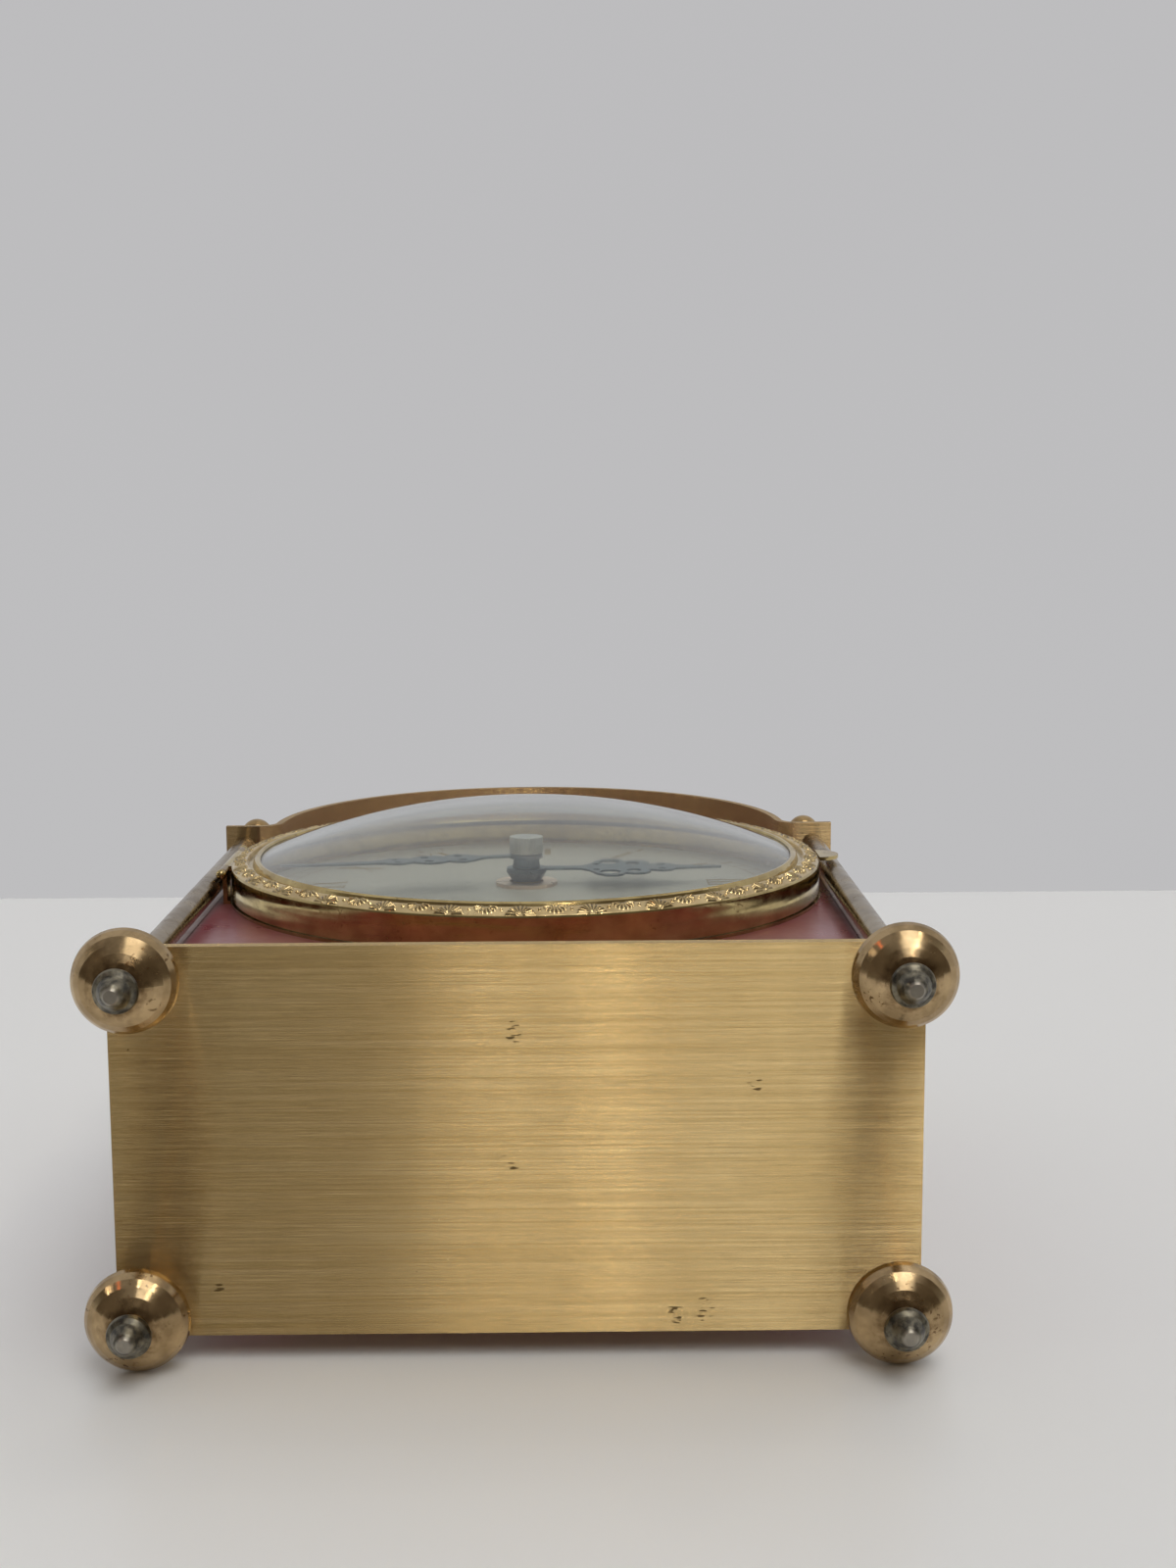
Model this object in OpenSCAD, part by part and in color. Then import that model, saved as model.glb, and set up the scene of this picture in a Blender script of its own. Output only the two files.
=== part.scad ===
// Four-column mantel clock with an arched roof strip, lacquered panels,
// a hinged domed glass and an eight-day lever movement.
// Millimetres, +Z up, the dial faces -Y, the feet stand on Z = 0.
// Most pieces are laid out by their front distance: how far they lie in
// front of the middle plane of the base plate. Behind it the number is negative.

/* [Base, roof and panels] */
// Width of the base plate and of the roof strip
plate_w = 130; // [90:1:200]
// Depth of the base plate and of the roof strip
plate_d = 64.4; // [50:0.2:110]
// Thickness of the base plate
plate_t = 2.2; // [1:0.1:4]
// Rounding of the plate corners
plate_round = 0.8; // [0.2:0.1:5]
// Height of the flat shoulders of the roof above the underside of the base
shoulder_z = 118.5; // [90:0.5:160]
// Thickness of the roof strip
roof_t = 1.5; // [0.8:0.1:3]
// Length of a flat shoulder from the end of the strip to the bend
shoulder_w = 7.26; // [4:0.01:20]
// Height of the centre of the arch above the shoulders
arch_rise = 0.3; // [-2:0.1:2]
// Inner radius of the bend from shoulder to arch
bend_r = 3; // [2:0.5:8]
// Distance of the side panels from the left and right edges of the base plate
panel_side = 5; // [3:0.5:15]
// Thickness of the lacquered panels
panel_t = 1.2; // [0.8:0.1:3]
// Distance of the faces of the front and back panels from the edges of the base plate
panel_set = 8; // [6:0.1:20]
// Gap between a panel and the roof strip
panel_gap = 0.1; // [0.05:0.05:0.5]
// Thickness of the square bars in the corners of the case
bar_t = 2.5; // [1.5:0.1:5]

/* [Feet, columns and finials] */
// Distance of the columns and feet from the left and right edges of the plate
post_side = 4; // [3:0.1:15]
// Distance of the columns and feet from the front and back edges of the plate
post_end = 4.5; // [3:0.1:12]
// Radius of the columns
column_r = 2.2; // [1.5:0.1:4]
// Radius of the threaded studs at the column ends
stud_r = 1.4; // [0.8:0.1:2]
// Length of the stud inside a foot
foot_stud = 5; // [3:0.5:8]
// Length of the stud inside a finial
finial_stud = 4; // [2:0.5:6]
// Height of a foot
foot_h = 14.5; // [8:0.5:20]
// Outline of a foot, radius and depth under the base plate
foot_line = [
    [4.6, 0], [5.0, -0.6], [6.6, -1.4], [7.9, -2.5], [8.5, -3.8], [8.3, -4.9], [7.6, -6.0],
    [6.6, -7.0], [5.3, -7.9], [4.0, -8.6], [3.0, -9.0], [2.8, -9.5], [3.4, -10.0], [3.6, -10.7],
    [3.4, -11.4], [2.7, -12.0], [2.3, -12.8], [1.8, -13.7], [1.05, -14.5]
];
// Outline of a finial below its ball, radius and height over the shoulder
finial_line = [[3.2, 0], [3.2, 1.2], [2.1, 2.2], [1.7, 4.5], [1.7, 8.5], [2.4, 10.4], [2.6, 11.4],
    [1.6, 12.2]];
// Radius of the ball of a finial
ball_r = 3.4; // [2:0.1:5]
// Height of the centre of the ball over the shoulder
ball_z = 15.5; // [10:0.5:20]
// Angle at which the ball leaves its neck
ball_from = -55; // [-70:5:-40]

/* [Dial and glass] */
// Height of the shoulders of the roof above the dial centre
dial_drop = 33; // [20:0.5:45]
// Gap around the dial inside the seat ring
dial_gap = 0.2; // [0.1:0.05:1]
// Thickness of the dial
dial_t = 0.8; // [0.4:0.1:2]
// Radius of the hole in the middle of the dial
dial_hole_r = 3.4; // [3:0.1:6]
// Radius of the copper grommet around the hole
grommet_r = 6.1; // [4:0.1:8]
// Thickness of the grommet
grommet_t = 0.7; // [0.3:0.1:1.5]
// Distance of the flat ring that the bezel closes against from the side panels
seat_side = 1.5; // [0.5:0.1:6]
// Width of that ring
seat_w = 4.3; // [3:0.1:6]
// Thickness of that ring
seat_t = 0.6; // [0.4:0.1:1.5]
// Front distance of the middle of the glass
glass_front = 42; // [36:0.5:50]
// How far the lip of the bezel reaches in over the glass from the edge of the seat ring
lip_w = 6.1; // [5:0.1:9]
// Rise of the glass from the lip to the middle
glass_rise = 10; // [4:0.5:16]
// How far the glass goes on under the lip
glass_under = 1.0; // [0.5:0.1:1.5]
// Thickness of the glass
glass_t = 1.6; // [1:0.1:3]
// Section of the pressed bezel, distance out from the edge of the seat ring and front distance
bezel_section = [
    [-0.4, 24.9], [-0.4, 30.6], [-0.5, 30.9], [-0.75, 31.05], [-1.05, 31.1], [-2.1, 31.55],
    [-3.1, 31.95], [-3.55, 31.7], [-3.85, 31.05], [-4.55, 31.05], [-4.75, 31.6], [-5.0, 32.2],
    [-5.4, 32.5], [-5.8, 32.45], [-6.05, 32.2], [-6.1, 32.05], [-5.05, 31.66], [-5.05, 30.2],
    [-1.2, 30.2], [-1.2, 24.9]
];
// Section of the ring that holds the glass from behind, measured in the same way
glass_ring_section = [[-6.3, 29.0], [-1.3, 29.0], [-1.3, 29.5], [-5.1, 29.5], [-5.1, 29.8], [-6.3, 29.8]];
// Radius of the thumb tab on the bezel
tab_r = 4.2; // [3:0.1:6]
// Front distances of the faces of the thumb tab
tab_faces = [31.1, 30.4];

/* [Bezel hinge] */
// Distance of the hinge pin outside the edge of the seat ring
bezel_pin_out = 0.1; // [0:0.1:3]
// Front distance of the hinge pin
bezel_pin_front = 30.2; // [28:0.1:33]
// Radius of the hinge pin
bezel_pin_r = 0.45; // [0.3:0.05:0.8]
// Radius of the hinge knuckles
bezel_knuckle_r = 0.9; // [0.7:0.05:1.2]
// Half length of the middle knuckle
bezel_knuckle_half = 8.3; // [4:0.1:12]
// Gap between two knuckles
knuckle_gap = 0.2; // [0.1:0.05:0.5]
// Length of each outer knuckle
bezel_outer_knuckle = 4; // [2:0.1:6]
// Radius of the small balls that end the pin
pin_ball_r = 1.0; // [0.6:0.05:1.4]
// Thickness of the two hinge arms at the edge of the seat ring
arm_t = 0.8; // [0.5:0.1:1.5]
// Front distances of the leaf on the middle knuckle
leaf_faces = [30.9, 30.0];

/* [Back door] */
// Width of the back panel beside its opening
back_frame_w = 20; // [12:0.5:30]
// Height of the sill of the opening above the underside of the base
opening_z = 12; // [6:0.5:30]
// Overlap of the door around the opening
door_lap = 2; // [1:0.1:4]
// Thickness of the door
door_t = 1.0; // [0.6:0.1:2]
// Gap between the door and the back panel
door_gap = 0.2; // [0.1:0.05:0.5]
// Distance of the door hinge pin beyond the edge of the door
door_pin_side = 2; // [1.5:0.1:5]
// Depth of the door hinge pin behind the middle plane
door_pin_back = 25.6; // [24:0.1:28]
// Radius of the door hinge pins
door_pin_r = 0.6; // [0.4:0.05:1]
// Radius of the door hinge knuckles
door_knuckle_r = 1.15; // [0.9:0.05:2]
// Heights of the two hinges of the door above the underside of the base
door_hinge_z = [34, 104];
// Length of one hinge knuckle
door_knuckle_l = 5; // [3:0.5:8]
// Thickness of the hinge leaves
leaf_t = 0.5; // [0.3:0.1:1]
// Width of the hinge leaves
leaf_w = 5.5; // [4:0.5:9]
// Outline of the door knob, radius and depth behind the door
door_knob_line = [[0, 0], [2.6, 0], [2.6, 0.5], [1.2, 1.0], [1.1, 2.2], [2.2, 3.0], [2.9, 4.0],
    [2.7, 5.0], [1.6, 5.7], [0, 5.9]];
// Distance of the knob from the free edge of the door
door_knob_in = 7; // [4:0.5:15]

/* [Hands] */
// Radius of the hour pipe
hour_pipe_r = 2.6; // [2:0.1:4]
// Radius of the minute pipe inside it
minute_pipe_r = 1.65; // [1:0.05:2.5]
// Running clearance of pipes and arbors
run_gap = 0.06; // [0.02:0.01:0.1]
// Front distances of the faces of the hour hand
hour_faces = [28.4, 28.0];
// Front distances of the faces of the minute hand
minute_faces = [31.0, 30.6];
// Direction of the hour hand in degrees, clockwise from twelve
hour_dir = 90; // [0:1:359]
// Direction of the minute hand in degrees, clockwise from twelve
minute_dir = 254; // [0:1:359]
// Half outline of the hour hand, distance along it and half width
hour_line = [
    [0, 3.9], [2.4, 3.2], [3.6, 1.5], [9, 1.3], [11, 1.6], [12.5, 3.4], [14, 7.2], [15.6, 9.2],
    [17.6, 9.5], [19, 8.4], [19.6, 6.6], [21.4, 7.4], [23.4, 7.0], [24.6, 5.2], [24.2, 3.2], [25.6, 3.6],
    [27, 4.2], [28.6, 3.6], [29.6, 2.0], [31, 1.5], [35, 1.0], [38.8, 0.4]
];
// Holes through the hour hand on each side, distance, offset and radius
hour_piercings = [[16.6, 5.6, 2.1], [21.3, 4.0, 1.5], [27.0, 2.3, 0.8], [13.9, 3.1, 0.7]];
// Half outline of the minute hand, distance along it and half width
minute_line = [
    [0, 3.3], [2.2, 2.6], [3.4, 1.1], [8, 0.9], [9.5, 1.5], [11.5, 3.4], [13.5, 4.4], [15.2, 3.8],
    [16.2, 2.6], [18, 3.8], [20.4, 4.2], [22.2, 3.0], [23.2, 2.0], [25.2, 3.1], [27.2, 3.0], [28.8, 1.7],
    [31, 1.2], [40, 0.8], [48.6, 0.35]
];
// Holes through the minute hand on each side, distance, offset and radius
minute_piercings = [[13.4, 2.4, 0.95], [20.2, 2.2, 0.95], [26.3, 1.6, 0.65]];
// Outline of the dark collet under the hour hand, radius and front distance
hour_collet_line = [[2.6, 25.9], [2.9, 25.9], [3.6, 27.0], [4.0, 27.6], [4.0, 28.0], [2.6, 28.0]];
// Outline of the tapered bush under the minute hand, radius and front distance
minute_bush_line = [[0, 28.5], [2.75, 28.5], [2.5, 30.2], [3.4, 30.35], [3.4, 30.6], [0, 30.6]];
// Radius of the knurled hand nut
hand_nut_r = 3.3; // [2:0.1:5]
// Front distances of the faces of the hand nut
hand_nut_faces = [34.5, 31.3];
// Number of ridges on the hand nut
hand_nut_ridges = 36; // [12:1:60]

/* [Movement plates] */
// Half width of the movement plates
mplate_half = 36; // [30:1:45]
// Lower and upper edge of the movement plates from the dial centre
mplate_z = [-57, 34];
// Thickness of the movement plates
mplate_t = 1.5; // [1:0.1:3]
// Front distance of the inner face of the front movement plate
front_inner = 15.5; // [10:0.5:18]
// Front distance of the inner face of the back movement plate
back_inner = -8; // [-14:0.5:-4]
// Distance of the pillars from the middle
pillar_x = 32; // [25:0.5:40]
// Heights of the pillars from the dial centre
pillar_z = [-40, 28];
// Radius of the pillars
pillar_r = 2.5; // [2:0.1:4]
// Radius of the screws in the pillars
screw_r = 1.2; // [0.8:0.1:2]
// Depth of the screw in a pillar end
screw_in = 5; // [3:0.5:8]
// Radius of the screw heads
screw_head_r = 2.4; // [1.6:0.1:3]
// Height of the screw heads
screw_head_h = 1.4; // [0.8:0.1:2]
// Width and depth of the slot in a screw head
slot_size = [0.6, 0.6];

/* [Wheels] */
// Barrel, intermediate, centre, third and fourth wheel teeth
wheel_teeth = [72, 70, 80, 75, 64];
// Pinions they drive: intermediate, centre, third, fourth and escape leaves
pinion_teeth = [10, 10, 10, 10, 8];
// Modules of those five meshes
mesh_modules = [0.6, 0.5, 0.4, 0.34, 0.3];
// Directions from each wheel to the pinion that it drives
mesh_dirs = [134, 46, 60, 160, 222];
// Front distances of the faces of the five wheels
wheel_faces = [[-3.5, -5.5], [9.8, 8.6], [14.6, 13.6], [4.4, 3.6], [-0.2, -1.0]];
// Front distances of the faces of the five pinions
pinion_faces = [[-2.5, -6.5], [11.5, 7.0], [15.2, 12.8], [5.2, 3.0], [0.6, -2.0]];
// Number of spokes of a wheel
spokes = 5; // [3:1:6]
// Share of half the tooth pitch that a wheel tooth fills
tooth_fill = 0.86; // [0.6:0.02:1]
// Tooth shape, radius from the pitch circle in modules and width share there
wheel_tooth = [[-1.25, 1.0], [-0.3, 1.0], [0.45, 0.68], [0.85, 0.3]];
// Leaf shape of the driven pinions
pinion_tooth = [[-1.5, 0.72], [-0.3, 0.86], [0.3, 0.66], [0.55, 0.3]];
// Radius of the wheel arbors
arbor_r = 0.9; // [0.5:0.1:2]
// Radius of the pivots in the plates
pivot_r = 0.5; // [0.3:0.05:1]
// Outer radius of the hollow centre arbor
centre_r = 1.3; // [1:0.05:2]
// Radius of the minute arbor inside it
minute_r = 0.7; // [0.5:0.05:1]
// Cannon pinion, minute wheel, minute pinion and hour wheel teeth
motion_teeth = [12, 36, 10, 40];
// Module of the cannon pinion and the minute wheel
motion_module = 0.4; // [0.3:0.02:0.6]
// Front distances of the faces of cannon pinion, minute wheel, its pinion and hour wheel
motion_faces = [[20.2, 19.0], [20.0, 19.2], [22.0, 20.0], [21.7, 20.9]];

/* [Barrel and winding] */
// Outer radius of the barrel drum
drum_r = 19.5; // [15:0.5:21]
// Wall of the barrel drum
drum_wall = 0.9; // [0.6:0.1:2]
// Front distance of the open end of the drum
drum_front = 6.5; // [3:0.5:8]
// Thickness of the barrel cap
cap_t = 0.8; // [0.5:0.1:1.5]
// Radius of the barrel arbor and of its hub
barrel_arbor_radii = [2.0, 5.0];
// Radius of the front pivot of the barrel arbor
barrel_pivot_r = 1.4; // [1:0.1:2]
// Width across the winding square
square_w = 2.8; // [2:0.1:3.5]
// Depth of the end of the winding square behind the middle plane
square_back = 17; // [13:0.5:20]
// Turns of the mainspring as it lies in the drum
mainspring_turns = 9; // [4:1:14]
// Thickness of the mainspring
mainspring_t = 0.4; // [0.2:0.05:0.6]
// Teeth of the ratchet
ratchet_teeth = 24; // [16:4:36]
// Root and tip radius of the ratchet
ratchet_radii = [5.9, 7.0];
// Depths of the faces of ratchet, click and click spring behind the middle plane
ratchet_faces = [9.7, 10.9];
// Place of the click screw from the barrel arbor
click_at = [10.2, -0.8];
// Outline of the click around its screw
click_line = [
    [-5.78, 5.07], [-4.95, 5.88], [-3.0, 5.7], [-0.6, 3.6], [1.7, 1.0], [2.4, -2.6], [1.0, -3.1],
    [-1.3, -1.4], [-1.7, 1.3], [-3.1, 3.4], [-3.9, 4.7]
];
// Outline of the blade of the click spring, from the screw of the click
click_spring_line = [[-0.7, -2.6], [-0.35, -2.8], [-1.5, -5.4], [-1.6, -8.8], [-3.6, -8.8], [-2.2, -5.4]];
// Place and radius of the riveted pad of the click spring
click_pad = [-2.6, -8.6, 1.5];
// Radius of the click around its screw
click_r = 2.1; // [1.5:0.1:3]
// Outline of the wings of the winding key, half width and depth
key_line = [[0, 17.6], [2.2, 17.6], [4.0, 18.3], [8.2, 17.9], [9.8, 19.4], [9.8, 21.6], [8.2, 23.1],
    [4.0, 22.7], [0, 22.9]];
// Radius of the pipe of the key
key_pipe_r = 2.7; // [2.3:0.1:4]
// Depths of the pipe of the key behind the middle plane
key_pipe_faces = [12, 17.6];
// Thickness of the wings of the key
key_wing_t = 1.4; // [0.8:0.1:3]

/* [Escapement] */
// Number of escape teeth
escape_teeth = 15; // [12:1:20]
// Tip radius of the escape wheel
escape_r = 5.0; // [3:0.1:7]
// Corners of one escape tooth, shares of the tip radius and of the tooth pitch
escape_tooth_shares = [[0.76, 0.24], [0.98, 0.42], [1.0, 0.54], [0.8, 0.5]];
// Inner radius of the rim of the escape wheel as a share of the tip radius
escape_rim_share = 0.62; // [0.5:0.02:0.7]
// Depths of the faces of escape wheel and lever behind the middle plane
escape_faces = [12.0, 12.5];
// Direction from the escape arbor over the pallet arbor to the balance
lever_dir = 127; // [90:1:160]
// Distance from the escape arbor to the pallet arbor
pallet_gap = 6.0; // [5:0.1:8]
// Distance from the pallet arbor to the balance staff
balance_gap = 7.2; // [6:0.1:10]
// Outline of one half of the lever, across and along it from the pallet arbor
lever_line = [[0, 6.0], [0.35, 6.0], [0.95, 6.3], [0.95, 5.2], [0.4, 4.6], [0.35, 1.2], [3.4, 0.3],
    [3.75, -1.2],
    [2.95, -1.35], [2.7, -0.45], [0.9, -0.7], [0, -0.9]];
// Width and depth of the notch of the lever
fork_notch = [0.4, 0.9];
// Outer radius of the balance rim
balance_r = 7.5; // [5:0.1:9]
// Width of the balance rim
rim_w = 0.9; // [0.5:0.1:1.5]
// Depths of the faces of the balance behind the middle plane
balance_faces = [16.6, 17.5];
// Depths of the faces of the roller behind the middle plane
roller_faces = [13.2, 13.7];
// Radius of the roller
roller_r = 1.5; // [1:0.1:2]
// Depths of the faces of the hairspring behind the middle plane
hairspring_faces = [18.6, 19.1];
// Inner and outer radius of the hairspring
hairspring_radii = [1.0, 4.2];
// Turns of the hairspring
hairspring_turns = 6; // [3:1:12]
// Thickness of the hairspring
hairspring_t = 0.14; // [0.08:0.02:0.3]
// Depths of the faces of the pallet cock behind the middle plane
pallet_cock_faces = [14.2, 15.3];
// Depths of the faces of the balance cock behind the middle plane
balance_cock_faces = [20.0, 21.4];
// Place of the foot of the pallet cock from the dial centre
pallet_foot = [-5.6, 23.4];
// Place of the foot of the balance cock from the dial centre
balance_foot = [-30.4, 11.6];
// Radius of the cock feet
cock_foot_r = 2.8; // [2:0.1:4]
// Radius of the cock ends over a pivot
cock_end_r = 1.7; // [1:0.1:3]

/* [Setting knob] */
// Outline of the setting knob, radius and depth behind the middle plane
setting_line = [[2.4, 10.2], [2.4, 14.4], [5.6, 14.8], [6.0, 15.3], [6.0, 18.3], [5.6, 18.8], [2.0, 19.0]];

/* [Hidden] */
$fn = 72;
// Extra reach of a cut beyond the face that it opens
over = 0.4;
// Clearance of studs, screws and pins that sit still in their holes
fit = 0.05;
// Room that is always larger than the clock
far = 2 * plate_w;
// Share that halves a width
half = 0.5;
// Places that follow from the width and depth of the base plate
post_x = plate_w * half - post_side;
post_y = plate_d * half - post_end;
panel_half = plate_w * half - panel_side;
panel_front = plate_d * half - panel_set;
bend_x = plate_w * half - shoulder_w;
// Heights that follow from the shoulders
arch_z = shoulder_z + arch_rise;
dial_z = shoulder_z - dial_drop;
// The bend and the arch touch without a corner
bend_centre_z = shoulder_z + bend_r - arch_z;
arch_r = sqrt(bend_x * bend_x + bend_centre_z * bend_centre_z) - bend_r;
bend_angle = atan2(bend_centre_z, bend_x);
// Radii that follow from the seat ring
seat_r = panel_half - seat_side;
seat_in_r = seat_r - seat_w;
dial_r = seat_in_r - dial_gap;
glass_r = seat_r - lip_w;
bezel_line = [for (p = bezel_section) [seat_r + p[0], p[1]]];
glass_ring_line = [for (p = glass_ring_section) [seat_r + p[0], p[1]]];
bezel_pin_x = seat_r + bezel_pin_out;
arm_faces = [seat_r - arm_t, seat_r];
// The dial side and the movement are drawn for a front panel whose faces lie here,
// and move forwards or back with the real panel
drawn_front = 24.2;
drawn_back = drawn_front - panel_t;
dial_shift = panel_front - drawn_front;
// The middle of the depth of the whole clock lies on Y = 0
foot_max_r = max([for (p = foot_line) p[0]]);
depth_shift = (glass_front + dial_shift - post_y - foot_max_r) * half;
panel_back = panel_front - panel_t;
side_out = panel_half;
opening_half = panel_half - back_frame_w;
door_half = opening_half + door_lap;
door_face = panel_front + door_gap;
door_pin_x = door_half + door_pin_side;
door_knob_x = door_knob_in - door_half;
seat_front = drawn_front + seat_t;
dial_front = drawn_front + dial_t;
glass_sphere_r = (glass_r * glass_r + glass_rise * glass_rise) / (2 * glass_rise);
glass_mid = glass_front - glass_sphere_r;
front_outer = front_inner + mplate_t;
back_outer = back_inner - mplate_t;
right_angle = 90;
bend_turn = right_angle - bend_angle;
full_turn = 360;
steps_per_turn = 24;
ball_step = 5;
bend_steps = 8;
arch_steps = 72;

function polar(r, a) = [r * cos(a), r * sin(a)];
function pitch_r(n, m) = n * m * half;
function mesh_gap(i) = pitch_r(wheel_teeth[i] + pinion_teeth[i], mesh_modules[i]);

// Places of the arbors from the dial centre: centre, third, fourth, escape,
// then back down the train to intermediate and barrel
third_at = polar(mesh_gap(2), mesh_dirs[2]);
fourth_at = third_at + polar(mesh_gap(3), mesh_dirs[3]);
escape_at = fourth_at + polar(mesh_gap(4), mesh_dirs[4]);
inter_at = -polar(mesh_gap(1), mesh_dirs[1]);
barrel_at = inter_at - polar(mesh_gap(0), mesh_dirs[0]);
pallet_at = escape_at + polar(pallet_gap, lever_dir);
balance_at = pallet_at + polar(balance_gap, lever_dir);
minute_wheel_at = [pitch_r(motion_teeth[0] + motion_teeth[1], motion_module), 0];
hour_module = 2 * minute_wheel_at[0] / (motion_teeth[2] + motion_teeth[3]);

// Moves a piece from the frame of the base plate to the frame of the part
module placed() translate([0, depth_shift, foot_h]) children();

// Moves a piece to the dial centre, or to a place measured from it
module at_dial(p = [0, 0]) placed() translate([p[0], -dial_shift, dial_z + p[1]]) children();

// Extrudes an outline, drawn as seen from the front, between two front distances
module slab(front, back) translate([0, -back, 0]) rotate([right_angle, 0, 0])
    linear_extrude(front - back) children();

// The same, with both faces behind the middle plane
module back_slab(near, deep) slab(-near, -deep) children();

// Turns a profile of radius and front distance about the axis of the dial
module turned(line) rotate([right_angle, 0, 0]) rotate_extrude() polygon(line);

// Turns a profile of radius and depth behind the middle plane
module back_turned(line) rotate([-right_angle, 0, 0]) rotate_extrude() polygon(line);

// Upright round post from one height to another
module upright(x, y, r, low, high) translate([x, y, low]) cylinder(r = r, h = high - low);

// The edge of the roof from the right ear to the left one, drawn in by an inset
function roof_edge(inset) = concat(
    [[plate_w * half, shoulder_z - inset]],
    [for (i = [0:bend_steps])
        [bend_x, shoulder_z + bend_r] + polar(bend_r + inset, -right_angle - bend_turn * i / bend_steps)],
    [for (i = [1:arch_steps - 1])
        [0, arch_z] + polar(arch_r - inset, bend_angle + 2 * bend_turn * i / arch_steps)],
    [for (i = [bend_steps:-1:0])
        [-bend_x, shoulder_z + bend_r] + polar(bend_r + inset, -right_angle + bend_turn * i / bend_steps)],
    [[-plate_w * half, shoulder_z - inset]]
);

// The same points from the left ear to the right one
function reversed(list) = [for (i = [len(list) - 1:-1:0]) list[i]];

// Outline of the front and back panels
module panel_outline() intersection() {
    polygon(concat(roof_edge(roof_t + panel_gap), [[-plate_w * half, 0], [plate_w * half, 0]]));
    translate([-panel_half, plate_t]) square([2 * panel_half, far]);
}

// Upright outline with a round top about the centre of the arch
module arched(half_w, low) {
    translate([-half_w, low]) square([2 * half_w, arch_z - low]);
    translate([0, arch_z]) circle(half_w);
}

// Base

module base_plate() color("#a8905a") placed() difference() {
    translate([0, 0, plate_t * half]) rounded_plate(plate_w, plate_d, plate_t);
    for (x = [-post_x, post_x])
        for (y = [-post_y, post_y])
            upright(x, y, stud_r + fit, -over, plate_t + over);
}

module rounded_plate(w, d, t) translate([0, 0, -t * half]) linear_extrude(t) union() {
    square([w, d - 2 * plate_round], center = true);
    square([w - 2 * plate_round, d], center = true);
    for (x = [-1, 1])
        for (y = [-1, 1])
            translate([x * (w * half - plate_round), y * (d * half - plate_round)]) circle(plate_round);
}

// One turned foot with a blind hole for the stud of its column
module foot(sx, sy) color("#8f7440") placed() translate([sx * post_x, sy * post_y, 0])
    rotate_extrude() polygon(concat(foot_line,
        [[0, -foot_h], [0, -foot_stud - over], [stud_r + fit, -foot_stud - over], [stud_r + fit, 0]]));

// One column with a stud at each end
module column(sx, sy) color("#8d8069") placed() translate([sx * post_x, sy * post_y, 0]) union() {
    upright(0, 0, column_r, plate_t, shoulder_z - roof_t);
    upright(0, 0, stud_r, -foot_stud, plate_t + over);
    upright(0, 0, stud_r, shoulder_z - roof_t - over, shoulder_z + finial_stud);
}

// The four finials are the nuts that clamp the roof strip to the columns
module finial_nuts() color("#9c8148") placed()
    for (x = [-post_x, post_x])
        for (y = [-post_y, post_y])
            translate([x, y, shoulder_z]) rotate_extrude() polygon(concat(
                [[0, finial_stud + over], [stud_r + fit, finial_stud + over], [stud_r + fit, 0]],
                finial_line,
                [for (a = [ball_from:ball_step:right_angle]) [ball_r * cos(a), ball_z + ball_r * sin(a)]]));

// Roof strip: flat shoulders, bends and arch from one strip of brass
module roof_strip() color("#a8894b") placed() difference() {
    slab(plate_d * half, -plate_d * half) polygon(concat(roof_edge(0), reversed(roof_edge(roof_t))));
    for (x = [-post_x, post_x])
        for (y = [-post_y, post_y])
            upright(x, y, stud_r + fit, shoulder_z - roof_t - over, shoulder_z + over);
}

// Case panels

module front_panel() color("#7d2030") placed() difference() {
    slab(panel_front, panel_back) panel_outline();
    translate([0, 0, dial_z]) slab(panel_front + over, panel_back - over) circle(grommet_r);
}

module side_panel(side) color("#7d2030") placed() translate([side * (side_out - panel_t * half), 0, 0])
    translate([-panel_t * half, -panel_back, plate_t])
        cube([panel_t, 2 * panel_back, shoulder_z - roof_t - panel_gap - plate_t]);

module back_panel() color("#7d2030") placed() slab(-panel_back, -panel_front) difference() {
    panel_outline();
    arched(opening_half, opening_z);
}

// Square bars that join the panels in the four corners of the case
module corner_bars() color("#8f7440") placed()
    for (sx = [-1, 1])
        for (sy = [-1, 1])
            translate([sx * (side_out - panel_t - bar_t * half), sy * (panel_back - bar_t * half), plate_t])
                translate([-bar_t * half, -bar_t * half, 0])
                    cube([bar_t, bar_t, shoulder_z - roof_t - panel_gap - plate_t]);

// Back door

module back_door() color("#a8905a") placed() union() {
    slab(-door_face, -door_face - door_t) arched(door_half, opening_z - door_lap);
    for (z = door_hinge_z) {
        difference() {
            union() {
                translate([door_pin_x, door_pin_back, z - door_knuckle_l - knuckle_gap * half])
                    cylinder(r = door_knuckle_r, h = door_knuckle_l);
                translate([door_pin_x - leaf_w, door_face + door_t - leaf_t * half,
                    z - door_knuckle_l - knuckle_gap * half])
                    cube([leaf_w, leaf_t, door_knuckle_l]);
            }
            upright(door_pin_x, door_pin_back, door_pin_r + run_gap, z - 2 * door_knuckle_l, z + over);
        }
    }
}

module door_knob() color("#9c8148") placed() translate([door_knob_x, door_face + door_t, dial_z])
    back_turned(door_knob_line);

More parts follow.
